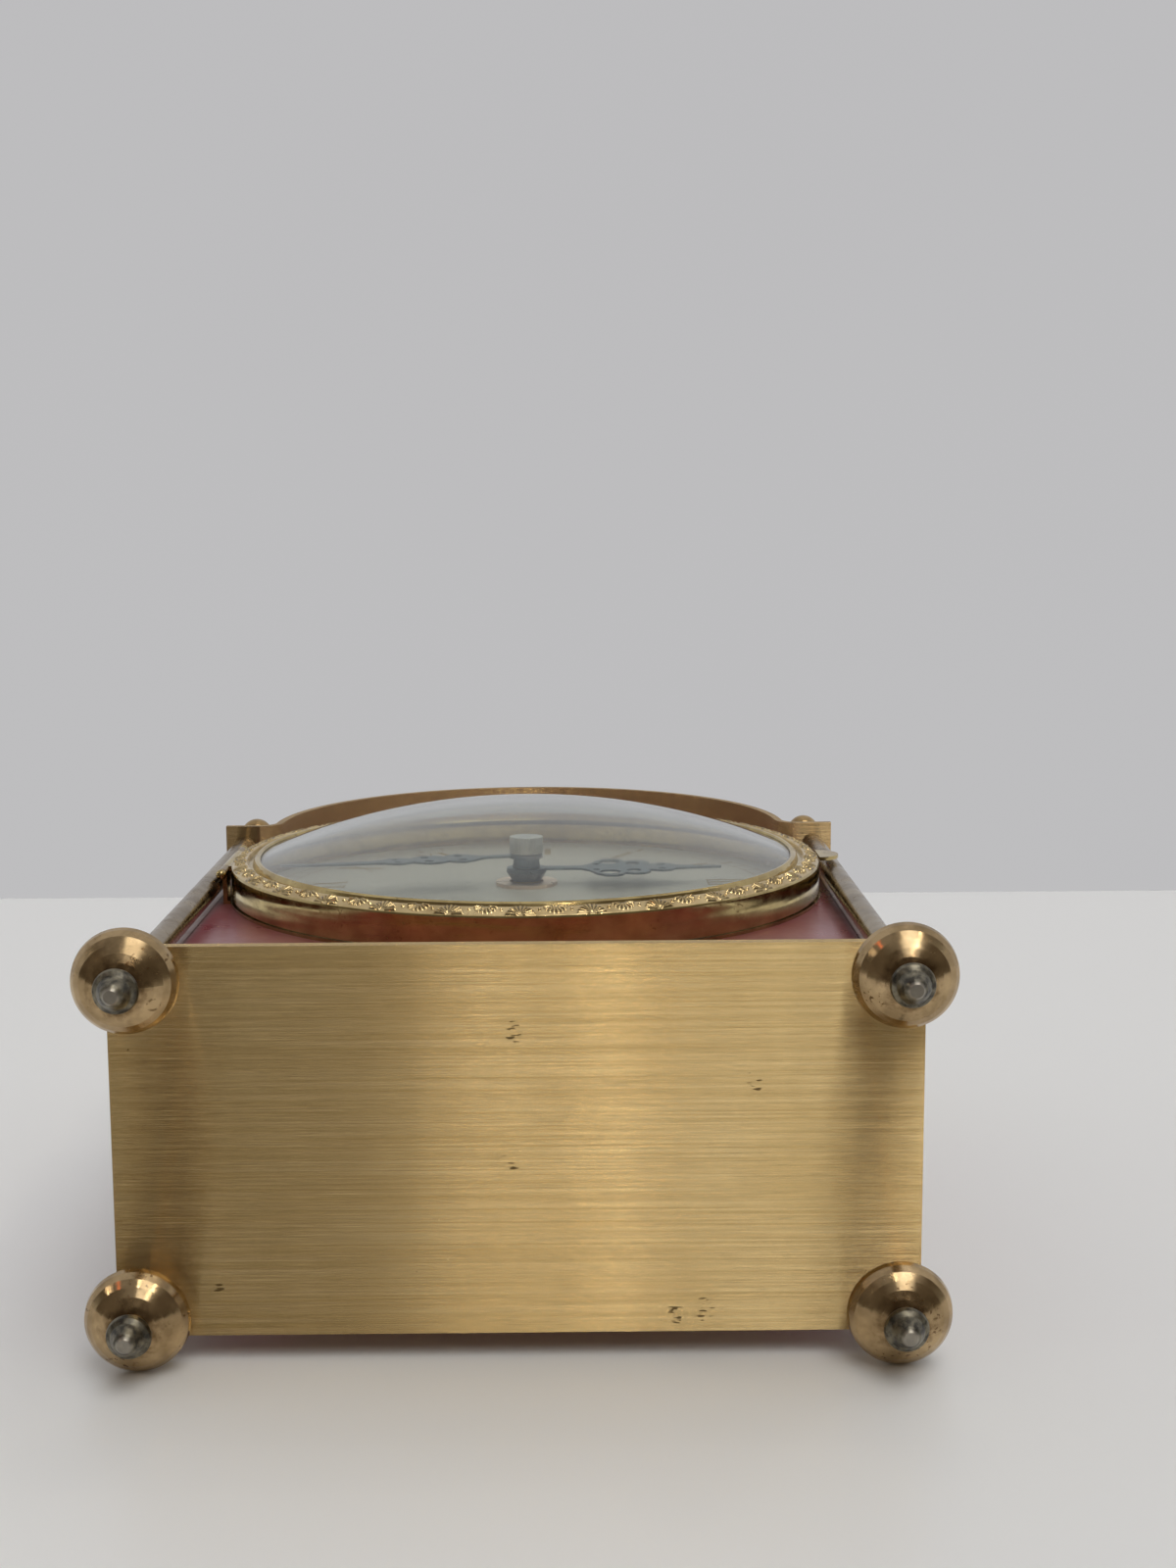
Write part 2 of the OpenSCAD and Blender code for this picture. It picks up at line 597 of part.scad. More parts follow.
// Fixed leaves of the door hinges on the back panel
module door_hinge_leaves() color("#9c8148") placed()
    for (z = door_hinge_z)
        difference() {
            union() {
                translate([door_pin_x, door_pin_back, z + knuckle_gap * half])
                    cylinder(r = door_knuckle_r, h = door_knuckle_l);
                translate([door_pin_x, panel_front, z + knuckle_gap * half])
                    cube([leaf_w, leaf_t, door_knuckle_l]);
            }
            upright(door_pin_x, door_pin_back, door_pin_r + fit, z - over, z + 2 * door_knuckle_l);
            translate([door_pin_x - far * half, panel_front - far * half, z - over])
                cube([far, far * half, 2 * door_knuckle_l]);
        }

module door_hinge_pins() color("#777064") placed()
    for (z = door_hinge_z)
        upright(door_pin_x, door_pin_back, door_pin_r, z - door_knuckle_l - over,
            z + door_knuckle_l + over);

// Bezel and glass

knuckle_low = bezel_knuckle_half + knuckle_gap;
knuckle_high = knuckle_low + bezel_outer_knuckle;

// Flat ring on the panel with the two hinge arms and their knuckles
module bezel_seat() color("#a8894b") at_dial() difference() {
    union() {
        slab(seat_front, drawn_front) difference() {
            circle(seat_r);
            circle(seat_in_r);
        }
        for (low = [knuckle_low, -knuckle_high]) {
            translate([-arm_faces[1], -bezel_pin_front, low])
                cube([arm_faces[1] - arm_faces[0], bezel_pin_front - drawn_front, bezel_outer_knuckle]);
            translate([-arm_faces[1], -seat_front, low])
                cube([arm_faces[1] - seat_in_r, seat_t, bezel_outer_knuckle]);
            upright(-bezel_pin_x, -bezel_pin_front, bezel_knuckle_r, low, low + bezel_outer_knuckle);
        }
    }
    upright(-bezel_pin_x, -bezel_pin_front, bezel_pin_r + fit, -knuckle_high - over, knuckle_high + over);
    slab(seat_front + over, drawn_front - over) circle(seat_in_r);
}

// Pressed bezel with its middle knuckle
module bezel_ring() color("#a8894b") at_dial() difference() {
    union() {
        turned(bezel_line);
        upright(-bezel_pin_x, -bezel_pin_front, bezel_knuckle_r, -bezel_knuckle_half, bezel_knuckle_half);
        translate([-bezel_pin_x, -leaf_faces[0], -bezel_knuckle_half])
            cube([bezel_pin_x - bezel_line[18][0] + fit, leaf_faces[0] - leaf_faces[1],
                2 * bezel_knuckle_half]);
    }
    upright(-bezel_pin_x, -bezel_pin_front, bezel_pin_r + run_gap, -bezel_knuckle_half - over,
        bezel_knuckle_half + over);
}

// Thumb tab soldered to the rim of the bezel
module bezel_tab() color("#b89a55") at_dial() slab(tab_faces[0], tab_faces[1]) difference() {
    translate([bezel_line[0][0], 0]) circle(tab_r);
    translate([0, -far * half]) square([bezel_line[0][0] + fit, far]);
}

module bezel_pin() color("#8f7440") at_dial() {
    upright(-bezel_pin_x, -bezel_pin_front, bezel_pin_r, -knuckle_high - pin_ball_r,
        knuckle_high + pin_ball_r);
    for (end = [-1, 1])
        translate([-bezel_pin_x, -bezel_pin_front, end * (knuckle_high + pin_ball_r + fit)])
            sphere(pin_ball_r);
}

// Domed glass, a shell between two spheres about one centre
module glass() color("#c9d6d4", 0.35) at_dial() intersection() {
    translate([0, -glass_mid, 0]) difference() {
        sphere(glass_sphere_r);
        sphere(glass_sphere_r - glass_t);
    }
    slab(far, 0) circle(glass_r + glass_under);
}

module glass_ring() color("#8f7440") at_dial() turned(glass_ring_line);

// Dial

module dial() color("#e8e6df") at_dial() slab(dial_front, drawn_front) difference() {
    circle(dial_r);
    circle(dial_hole_r);
}

module dial_grommet() color("#b87a5a") at_dial() slab(dial_front + grommet_t, dial_front) difference() {
    circle(grommet_r);
    circle(dial_hole_r);
}

// Hands and motion work

// Outline of a hand that points along +X, pierced on both sides
module hand_outline(line, piercings, bore) difference() {
    polygon(concat(line, [for (p = reversed(line)) [p[0], -p[1]]]));
    for (p = piercings)
        for (side = [-1, 1])
            translate([p[0], side * p[1]]) circle(p[2]);
    circle(bore);
}

module hour_hand() color("#3f4d5c") at_dial() {
    slab(hour_faces[0], hour_faces[1]) union() {
        rotate(right_angle - hour_dir) hand_outline(hour_line, hour_piercings, hour_pipe_r + fit);
        difference() {
            circle(hour_line[0][1]);
            circle(hour_pipe_r + fit);
        }
    }
    turned([for (p = hour_collet_line) [p[0] + (p[0] == hour_pipe_r ? fit : 0), p[1]]]);
}

module minute_hand() color("#3f4d5c") at_dial() {
    slab(minute_faces[0], minute_faces[1]) union() {
        rotate(right_angle - minute_dir) hand_outline(minute_line, minute_piercings, minute_pipe_r + fit);
        difference() {
            circle(minute_line[0][1]);
            circle(minute_pipe_r + fit);
        }
    }
    turned([for (p = minute_bush_line) [max(p[0], minute_pipe_r + fit), p[1]]]);
}

// Knurled nut over the end of the minute arbor
module hand_nut() color("#7e7a70") at_dial() difference() {
    slab(hand_nut_faces[0], hand_nut_faces[1]) polygon([
        for (i = [0:2 * hand_nut_ridges - 1])
            polar(hand_nut_r - (i % 2) * leaf_t * half * half, i * full_turn / (2 * hand_nut_ridges))
    ]);
    slab(hand_nut_faces[1] + screw_head_h, hand_nut_faces[1] - over) circle(minute_r + fit);
}

// Teeth drawn from a table of radius over the pitch circle and width share
function tooth_ring(n, m, shape) = [
    for (i = [0:n - 1])
        for (k = [0:2 * len(shape) - 1])
            let (j = k < len(shape) ? k : 2 * len(shape) - 1 - k,
                 side = k < len(shape) ? -1 : 1,
                 turn = full_turn / n)
            polar(pitch_r(n, m) + shape[j][0] * m,
                i * turn + side * turn * half * half * tooth_fill * shape[j][1])
];

// Toothed disc with one tooth centred on a direction
module toothed(n, m, shape, dir, bore) difference() {
    rotate(dir) polygon(tooth_ring(n, m, shape));
    circle(bore);
}

// Windows between the spokes of a wheel
module windows(hub, rim, wide) difference() {
    circle(rim);
    circle(hub);
    for (i = [0:spokes - 1])
        rotate(i * full_turn / spokes) translate([0, -wide * half]) square([far, wide]);
}

// Spoked wheel number i of the train
module train_wheel(i, hub, bore) slab(wheel_faces[i][0], wheel_faces[i][1]) difference() {
    toothed(wheel_teeth[i], mesh_modules[i], wheel_tooth, mesh_dirs[i], bore);
    windows(hub, pitch_r(wheel_teeth[i], mesh_modules[i]) - spokes * mesh_modules[i], 3 * mesh_modules[i]);
}

// Pinion number i of the train, with a gap towards its wheel
module train_pinion(i, bore) slab(pinion_faces[i][0], pinion_faces[i][1])
    toothed(pinion_teeth[i], mesh_modules[i], pinion_tooth,
        mesh_dirs[i] + full_turn * half * (1 + 1 / pinion_teeth[i]), bore);

// Arbor between the plates with a pivot at each end
module arbor(r, front, back) {
    slab(front - run_gap, back + run_gap) circle(r);
    slab(front + mplate_t, back - mplate_t) circle(pivot_r);
}

module minute_arbor() color("#b0a080") at_dial() {
    slab(motion_faces[0][0], motion_faces[0][1])
        toothed(motion_teeth[0], motion_module, pinion_tooth,
            full_turn * half / motion_teeth[0], minute_r * half);
    slab(hand_nut_faces[1] - fit, motion_faces[0][0] - fit) circle(minute_pipe_r);
    slab(motion_faces[0][1] + fit, front_outer + run_gap) circle(minute_pipe_r);
    slab(hand_nut_faces[1] + screw_head_h - fit, -setting_line[6][1] + fit) circle(minute_r);
}

module hour_wheel() color("#a8905a") at_dial() difference() {
    union() {
        slab(motion_faces[3][0], motion_faces[3][1])
            toothed(motion_teeth[3], hour_module, wheel_tooth, 0, minute_pipe_r);
        slab(hour_faces[0], motion_faces[3][1]) circle(hour_pipe_r);
    }
    slab(far, 0) circle(minute_pipe_r + run_gap);
}

module minute_wheel() color("#a8905a") at_dial(minute_wheel_at) difference() {
    union() {
        slab(motion_faces[1][0], motion_faces[1][1])
            toothed(motion_teeth[1], motion_module, wheel_tooth, full_turn * half, pivot_r);
        slab(motion_faces[2][0], motion_faces[2][1])
            toothed(motion_teeth[2], hour_module, pinion_tooth,
                full_turn * half * (1 + 1 / motion_teeth[2]), pivot_r);
    }
    slab(far, 0) circle(arbor_r * half + run_gap + fit);
}

module setting_knob() color("#a8905a") at_dial()
    back_turned(concat(setting_line,
        [[minute_r + fit, setting_line[6][1]], [minute_r + fit, setting_line[0][1]]]));

// Movement frame

module mplate_outline() translate([-mplate_half, mplate_z[0]])
    square([2 * mplate_half, mplate_z[1] - mplate_z[0]]);

// Holes for screws at the four pillars
module pillar_places() for (x = [-pillar_x, pillar_x]) for (z = pillar_z) translate([x, z]) children();

module front_mplate() color("#b39a5e") at_dial() {
    slab(front_outer, front_inner) difference() {
        mplate_outline();
        pillar_places() circle(screw_r + fit);
        circle(centre_r + run_gap);
        for (p = [third_at, fourth_at, escape_at, inter_at]) translate(p) circle(pivot_r + run_gap);
        translate(barrel_at) circle(barrel_pivot_r + run_gap);
    }
    translate([minute_wheel_at[0], 0, 0]) slab(motion_faces[2][0] + over, front_outer)
        circle(arbor_r * half);
}

module back_mplate() color("#b39a5e") at_dial() slab(back_inner, back_outer) difference() {
    mplate_outline();
    pillar_places() circle(screw_r + fit);
    circle(centre_r + run_gap);
    for (p = [third_at, fourth_at, inter_at, pallet_at, balance_at]) translate(p) circle(pivot_r + run_gap);
    translate(escape_at) circle(arbor_r + 2 * run_gap);
    translate(barrel_at) circle(barrel_arbor_radii[0] + run_gap);
    translate(barrel_at + click_at) circle(screw_r + fit);
    for (p = [pallet_foot, balance_foot]) translate(p) circle(screw_r + fit);
}

// The pillars are drilled at both ends
module pillars() color("#b39a5e") at_dial() difference() {
    slab(front_inner, back_inner) pillar_places() circle(pillar_r);
    slab(front_inner + over, front_inner - screw_in) pillar_places() circle(screw_r + fit);
    slab(back_inner + screw_in, back_inner - over) pillar_places() circle(screw_r + fit);
}

// Posts that carry the movement on the front panel, screwed into the pillars
module mount_posts() color("#b39a5e") at_dial() {
    slab(drawn_back, front_outer) pillar_places() circle(pillar_r);
    slab(front_outer + over, front_inner - screw_in + over) pillar_places() circle(screw_r);
}

// One slotted screw with its head on a face behind the middle plane
module back_screw(head_back, length, r = screw_head_r) difference() {
    union() {
        back_slab(head_back, head_back + screw_head_h) circle(r);
        back_slab(head_back - length, head_back + over) circle(screw_r);
    }
    back_slab(head_back + screw_head_h - slot_size[1], head_back + screw_head_h + over)
        square([3 * r, slot_size[0]], center = true);
}

module movement_screws() color("#4b5566") {
    for (x = [-pillar_x, pillar_x])
        for (z = pillar_z)
            at_dial([x, z]) back_screw(-back_outer, screw_in + mplate_t - over);
    at_dial(barrel_at + click_at) back_screw(ratchet_faces[1] + run_gap,
        ratchet_faces[1] + back_outer + mplate_t);
    at_dial(pallet_foot) back_screw(pallet_cock_faces[1], pallet_cock_faces[1] + back_outer + mplate_t,
        cock_foot_r - over);
    at_dial(balance_foot) back_screw(balance_cock_faces[1],
        balance_cock_faces[1] + back_outer + mplate_t, cock_foot_r - over);
}

// Barrel and winding work

module barrel() color("#b39a5e") at_dial(barrel_at) difference() {
    union() {
        slab(wheel_faces[0][0], wheel_faces[0][1])
            toothed(wheel_teeth[0], mesh_modules[0], wheel_tooth, mesh_dirs[0], pivot_r);
        slab(drum_front, wheel_faces[0][1]) circle(drum_r);
    }
    slab(drum_front + over, wheel_faces[0][0]) circle(drum_r - drum_wall);
    slab(far, -far) circle(barrel_arbor_radii[0] + run_gap);
}

module barrel_cap() color("#b39a5e") at_dial(barrel_at) slab(drum_front, drum_front - cap_t) difference() {
    circle(drum_r - drum_wall - fit);
    circle(barrel_arbor_radii[0] + run_gap);
}

// Flat spiral strip between two radii, laid out turn by turn
module spiral(r_in, r_out, turns, thick) polygon(concat(
    [for (i = [0:turns * steps_per_turn])
        polar(r_in + (r_out - r_in) * i / (turns * steps_per_turn), i * full_turn / steps_per_turn)],
    [for (i = [turns * steps_per_turn:-1:0])
        polar(r_in - thick + (r_out - r_in) * i / (turns * steps_per_turn), i * full_turn / steps_per_turn)]
));

module mainspring() color("#55606b") at_dial(barrel_at)
    slab(drum_front - cap_t - over, wheel_faces[0][0] + over)
    spiral(barrel_arbor_radii[1] + 2 * mainspring_t, drum_r - drum_wall - over,
        mainspring_turns, mainspring_t);

module barrel_arbor() color("#8d8a84") at_dial(barrel_at) {
    slab(drum_front - cap_t - fit, wheel_faces[0][0] + fit) circle(barrel_arbor_radii[1]);
    slab(front_inner - run_gap, back_outer - fit) circle(barrel_arbor_radii[0]);
    slab(front_outer, front_inner - over) circle(barrel_pivot_r);
    slab(back_outer, -square_back) square(square_w, center = true);
}

// Saw-toothed wheel on the winding square
module ratchet() color("#6d7076") at_dial(barrel_at)
    back_slab(ratchet_faces[0], ratchet_faces[1]) difference() {
    polygon([for (i = [0:ratchet_teeth - 1]) for (k = [0, 1])
        polar(ratchet_radii[k], (i + k * fit) * full_turn / ratchet_teeth)]);
    square(square_w + 2 * fit, center = true);
}

module click() color("#6d7076") at_dial(barrel_at + click_at) difference() {
    union() {
        back_slab(ratchet_faces[0], ratchet_faces[1]) circle(click_r);
        back_slab(ratchet_faces[0], ratchet_faces[1]) polygon(click_line);
    }
    back_slab(ratchet_faces[0] - over, ratchet_faces[1] + over) circle(screw_r + run_gap);
}

// Bent blade that holds the click in the teeth
module click_spring() color("#55606b") at_dial(barrel_at + click_at) difference() {
    union() {
        back_slab(ratchet_faces[0], ratchet_faces[1]) polygon(click_spring_line);
        translate([click_pad[0], 0, click_pad[1]])
            back_slab(ratchet_faces[0], ratchet_faces[1]) circle(click_pad[2]);
    }
    translate([click_pad[0], 0, click_pad[1]])
        back_slab(ratchet_faces[0] - over, ratchet_faces[1] + over) circle(pivot_r);
}

// Key with two wings, pushed on the square
module winding_key() color("#b39a5e") at_dial(barrel_at) {
    back_slab(key_pipe_faces[0], key_pipe_faces[1]) difference() {
        circle(key_pipe_r);
        square(square_w + 2 * fit, center = true);
    }
    translate([-key_wing_t * half, 0, 0]) rotate([0, right_angle, 0]) linear_extrude(key_wing_t)
        polygon(concat(key_line, [for (p = reversed(key_line)) [-p[0], p[1]]]));
}

// Going train

module intermediate_wheel() color("#b39a5e") at_dial(inter_at) {
    train_wheel(1, 2 * arbor_r + pivot_r, arbor_r * half);
    train_pinion(0, arbor_r * half);
    arbor(arbor_r, front_inner, back_inner);
}

module centre_wheel() color("#b39a5e") at_dial() difference() {
    union() {
        train_wheel(2, 3 * arbor_r, minute_r);
        train_pinion(1, minute_r);
        slab(front_outer, back_outer) circle(centre_r);
    }
    slab(far, -far) circle(minute_r + run_gap);
}

module third_wheel() color("#b39a5e") at_dial(third_at) {
    train_wheel(3, 2 * arbor_r + pivot_r, arbor_r * half);
    train_pinion(2, arbor_r * half);
    arbor(arbor_r, front_inner, back_inner);
}

module fourth_wheel() color("#b39a5e") at_dial(fourth_at) {
    train_wheel(4, 2 * arbor_r, arbor_r * half);
    train_pinion(3, arbor_r * half);
    arbor(arbor_r, front_inner, back_inner);
}

// Escapement behind the back plate

module escape_wheel() color("#8d8a84") at_dial(escape_at) {
    back_slab(escape_faces[0], escape_faces[1]) difference() {
        polygon([for (i = [0:escape_teeth - 1]) for (t = escape_tooth_shares)
            polar(escape_r * t[0], lever_dir + (i + t[1]) * full_turn / escape_teeth)]);
        windows(2 * arbor_r, escape_r * escape_rim_share, arbor_r);
    }
    train_pinion(4, arbor_r * half);
    slab(front_inner - run_gap, -pallet_cock_faces[0] + run_gap) circle(arbor_r);
    slab(front_outer, -pallet_cock_faces[1]) circle(pivot_r);
}

module lever() color("#8d8a84") at_dial(pallet_at) {
    back_slab(escape_faces[0], escape_faces[1]) rotate(lever_dir - right_angle) difference() {
        polygon(concat(lever_line, [for (p = reversed(lever_line)) [-p[0], p[1]]]));
        translate([-fork_notch[0] * half, lever_line[0][1] - fork_notch[1]])
            square([fork_notch[0], 2 * fork_notch[1]]);
    }
    back_slab(-back_outer + run_gap, pallet_cock_faces[0] - run_gap) circle(pivot_r + fit);
    back_slab(-back_outer - mplate_t * half, pallet_cock_faces[1]) circle(pivot_r * half);
}

// Cock with a round foot and an arm to one or two pivots
module cock(foot, ends, faces) {
    at_dial(foot) difference() {
        back_slab(-back_outer, faces[1]) circle(cock_foot_r);
        back_slab(-back_outer - over, faces[1] + over) circle(screw_r + fit);
    }
    at_dial() back_slab(faces[0], faces[1]) difference() {
        union() {
            for (e = ends) {
                d = (e - foot) / norm(e - foot);
                side = [-d[1], d[0]] * cock_end_r;
                polygon([foot + side, e + side, e - side, foot - side]);
                translate(e) circle(cock_end_r);
            }
        }
        translate(foot) circle(cock_foot_r - fit);
        for (e = ends) translate(e) circle(pivot_r + run_gap);
    }
}

module pallet_cock() color("#b39a5e") cock(pallet_foot, [pallet_at, escape_at], pallet_cock_faces);

module balance_cock() color("#b39a5e") cock(balance_foot, [balance_at], balance_cock_faces);

module balance() color("#c0a668") at_dial(balance_at) {
    back_slab(balance_faces[0], balance_faces[1]) difference() {
        circle(balance_r);
        difference() {
            circle(balance_r - rim_w);
            circle(2 * arbor_r);
            for (i = [0, 1, 2]) rotate(lever_dir + i * full_turn / 3) translate([0, -rim_w * half])
                square([far, rim_w]);
        }
    }
    back_slab(roller_faces[0], roller_faces[1]) circle(roller_r);
    back_slab(-back_outer + run_gap, balance_cock_faces[0] - run_gap) circle(pivot_r + fit);
    back_slab(-back_outer - mplate_t * half, balance_cock_faces[1]) circle(pivot_r * half);
    translate([-cos(lever_dir), 0, -sin(lever_dir)] * (roller_r - fork_notch[0] * half))
        back_slab(escape_faces[1] + 2 * run_gap, roller_faces[0] + fit) circle(fork_notch[0] * half * half);
}

module hairspring() color("#3f4d5c") at_dial(balance_at) back_slab(hairspring_faces[0], hairspring_faces[1])
    spiral(hairspring_radii[0], hairspring_radii[1], hairspring_turns, hairspring_t);

base_plate();
foot(-1, -1);  // foot_front_left
foot(1, -1);  // foot_front_right
foot(-1, 1);  // foot_back_left
foot(1, 1);  // foot_back_right
column(-1, -1);  // column_front_left
column(1, -1);  // column_front_right
column(-1, 1);  // column_back_left
column(1, 1);  // column_back_right
finial_nuts();
roof_strip();
front_panel();
side_panel(-1);  // side_panel_left
side_panel(1);  // side_panel_right
back_panel();
corner_bars();
back_door();
door_knob();
door_hinge_leaves();
door_hinge_pins();
bezel_seat();
bezel_ring();
bezel_tab();
bezel_pin();
glass();
glass_ring();
dial();
dial_grommet();
hour_hand();
hour_wheel();
minute_hand();
hand_nut();
minute_arbor();
setting_knob();
minute_wheel();
front_mplate();
back_mplate();
pillars();
movement_screws();
mount_posts();
barrel();
barrel_cap();
mainspring();
barrel_arbor();
ratchet();
click();
click_spring();
winding_key();
intermediate_wheel();
centre_wheel();
third_wheel();
fourth_wheel();
escape_wheel();
lever();
pallet_cock();
balance();
hairspring();
balance_cock();
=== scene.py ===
import math
import bpy
from mathutils import Matrix, Vector


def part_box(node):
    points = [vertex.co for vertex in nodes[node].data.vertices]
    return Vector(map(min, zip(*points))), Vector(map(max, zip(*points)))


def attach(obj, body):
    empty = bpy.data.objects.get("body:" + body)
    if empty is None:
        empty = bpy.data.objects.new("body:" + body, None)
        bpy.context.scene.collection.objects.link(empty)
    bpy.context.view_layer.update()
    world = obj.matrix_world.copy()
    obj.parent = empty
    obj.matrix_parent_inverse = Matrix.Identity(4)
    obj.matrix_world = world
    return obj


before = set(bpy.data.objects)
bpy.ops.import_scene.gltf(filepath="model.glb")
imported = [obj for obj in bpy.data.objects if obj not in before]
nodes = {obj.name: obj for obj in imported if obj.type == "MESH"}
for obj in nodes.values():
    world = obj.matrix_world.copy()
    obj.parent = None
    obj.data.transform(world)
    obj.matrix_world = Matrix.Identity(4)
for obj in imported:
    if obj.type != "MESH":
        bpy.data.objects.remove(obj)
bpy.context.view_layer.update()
scene = bpy.context.scene
scene.view_settings.view_transform = "Standard"
mm = 0.001


# Base plate: a flat sheet of brass, 2.2 mm thick, brushed from left to right on a belt
# and lacquered. Its countless fine scratches draw each lamp of the room out into a
# streak across them, and a few small patches of tarnish show where the lacquer failed.

def linear(hex_colour):
    parts = [int(hex_colour[i:i + 2], 16) / 255 for i in (1, 3, 5)]
    return [c / 12.92 if c <= 0.04045 else ((c + 0.055) / 1.055) ** 2.4 for c in parts] + [1.0]


def material(name):
    made = bpy.data.materials.new(name)
    made.use_nodes = True
    return made, made.node_tree, made.node_tree.nodes["Principled BSDF"]


def add(tree, kind, sockets, **settings):
    """Adds a node with its settings, and links or sets its sockets."""
    node = tree.nodes.new("ShaderNode" + kind)
    for key, value in settings.items():
        setattr(node, key, value)
    return join(tree, node, sockets)


def join(tree, node, sockets):
    """A socket takes a value, an output, or a node for its first output in use."""
    for key, value in sockets.items():
        if isinstance(value, bpy.types.Node):
            value = next(out for out in value.outputs if out.enabled)
        if isinstance(value, bpy.types.NodeSocket):
            tree.links.new(value, node.inputs[key])
        else:
            node.inputs[key].default_value = value
    return node


def per_metre(size):
    """Noise scale of a pattern with marks of this size in mm."""
    return 1 / (size * mm)


def brushed_brass(name, line, bright, dull, patches=()):
    """The belt ran along the axis numbered line; patches are middles, reaches in mm and depths."""
    made, tree, shader = material(name)
    place = add(tree, "TexCoord", {}).outputs["Object"]

    def drawn_out(length, width):
        """Scale of marks this long along the belt's path and this wide across it, in mm."""
        return [per_metre(length if i == line else width) for i in range(3)]

    # scratches 0.02 mm wide are too fine to show, and spread the reflection across the path
    thin = add(tree, "Mapping", {"Vector": place, "Scale": drawn_out(14, 0.02)})
    hair = add(tree, "TexNoise", {"Vector": thin, "Scale": 1.0, "Detail": 0.0})
    # the lines that do show are drawn 0.2 mm wide, coarser than the belt leaves them
    wide = add(tree, "Mapping", {"Vector": place, "Scale": drawn_out(60, 0.2)})
    lines = add(tree, "TexNoise", {"Vector": wide, "Scale": 1.0, "Detail": 2.0, "Roughness": 0.6})
    shade = add(tree, "MapRange", {"Value": lines, "From Min": 0.36, "From Max": 0.64})
    tone = add(tree, "Mix", {0: shade, 6: linear(dull), 7: linear(bright)}, data_type="RGBA")
    # handling leaves clouds about 25 mm across in the lacquer
    cloud = add(tree, "TexNoise", {"Vector": place, "Scale": per_metre(25), "Detail": 3.0})
    dulled = add(tree, "MapRange", {"Value": cloud, "From Min": 0.42, "From Max": 0.7,
                                    "To Max": 0.5})
    tone = add(tree, "Mix", {0: dulled, 6: tone, 7: linear(dull)}, data_type="RGBA")
    # tarnish creeps along the scratches in dashes 1.8 mm long and 0.4 mm wide
    dash = add(tree, "Mapping", {"Vector": place, "Scale": drawn_out(1.8, 0.4)})
    grains = add(tree, "TexNoise", {"Vector": dash, "Scale": 1.0, "Detail": 2.0})
    # elsewhere it stands in a few dots 1.5 mm across
    stain = add(tree, "TexNoise", {"Vector": place, "Scale": per_metre(1.5), "Detail": 2.0})
    stain = add(tree, "MapRange", {"Value": stain, "From Min": 0.76, "From Max": 0.82,
                                   "To Max": 0.5})
    for centre, reach, depth in patches:
        away = add(tree, "VectorMath", {0: place, 1: [c * mm for c in centre]},
                   operation="DISTANCE")
        close = add(tree, "MapRange", {
            "Value": away, "From Min": 0.2 * reach * mm, "From Max": reach * mm,
            "To Min": 0.60 - 0.1 * depth, "To Max": 0.80})
        mark = add(tree, "Math", {0: grains, 1: close}, operation="SUBTRACT")
        mark = add(tree, "MapRange", {"Value": mark, "From Max": 0.05, "To Max": 0.75})
        stain = add(tree, "Math", {0: stain, 1: mark}, operation="MAXIMUM")
    tone = add(tree, "Mix", {0: stain, 6: tone, 7: linear("#4a3216")}, data_type="RGBA")
    rough = add(tree, "MapRange", {"Value": lines, "From Min": 0.3, "From Max": 0.7,
                                   "To Min": 0.27, "To Max": 0.23})
    rough = add(tree, "Math", {0: rough, 1: stain}, operation="MAXIMUM")
    bump = add(tree, "Bump", {"Height": hair, "Strength": 1.0, "Distance": 0.07 * mm})
    along = add(tree, "CombineXYZ", {"XYZ"[line]: 1.0})
    join(tree, shader, {
        "Base Color": tone, "Metallic": 1.0, "Roughness": rough, "Anisotropic": 1.0,
        "Anisotropic Rotation": 0.25, "Normal": bump, "Tangent": along})
    return made


def dress(finish, *names):
    for name in names:
        nodes[name].data.materials.clear()
        nodes[name].data.materials.append(finish)


plate_under = 14.5
# place on the underside of the plate, reach and depth of each patch of tarnish
tarnish = [((x, y, plate_under), reach, depth) for x, y, reach, depth in (
    (25.0, 32.6, 4.4, 0.9), (30.0, 31.4, 4.2, 0.9), (-0.7, -14.8, 4.0, 0.4),
    (-48.5, 27.0, 1.7, 1.4), (-1.5, 6.0, 4.0, 0.5), (38.0, -6.0, 3.5, 0.3))]
dress(brushed_brass("Belt brushed brass", 0, "#e2c791", "#ccae75", tarnish), "base_plate")


# Feet: four turned and polished brass knobs, screwed up under the plate on the column studs.
# The polish mirrors the room. The round tips are worn and tarnished dark grey with a
# paler worn spot, and the bowls carry brown finger marks.

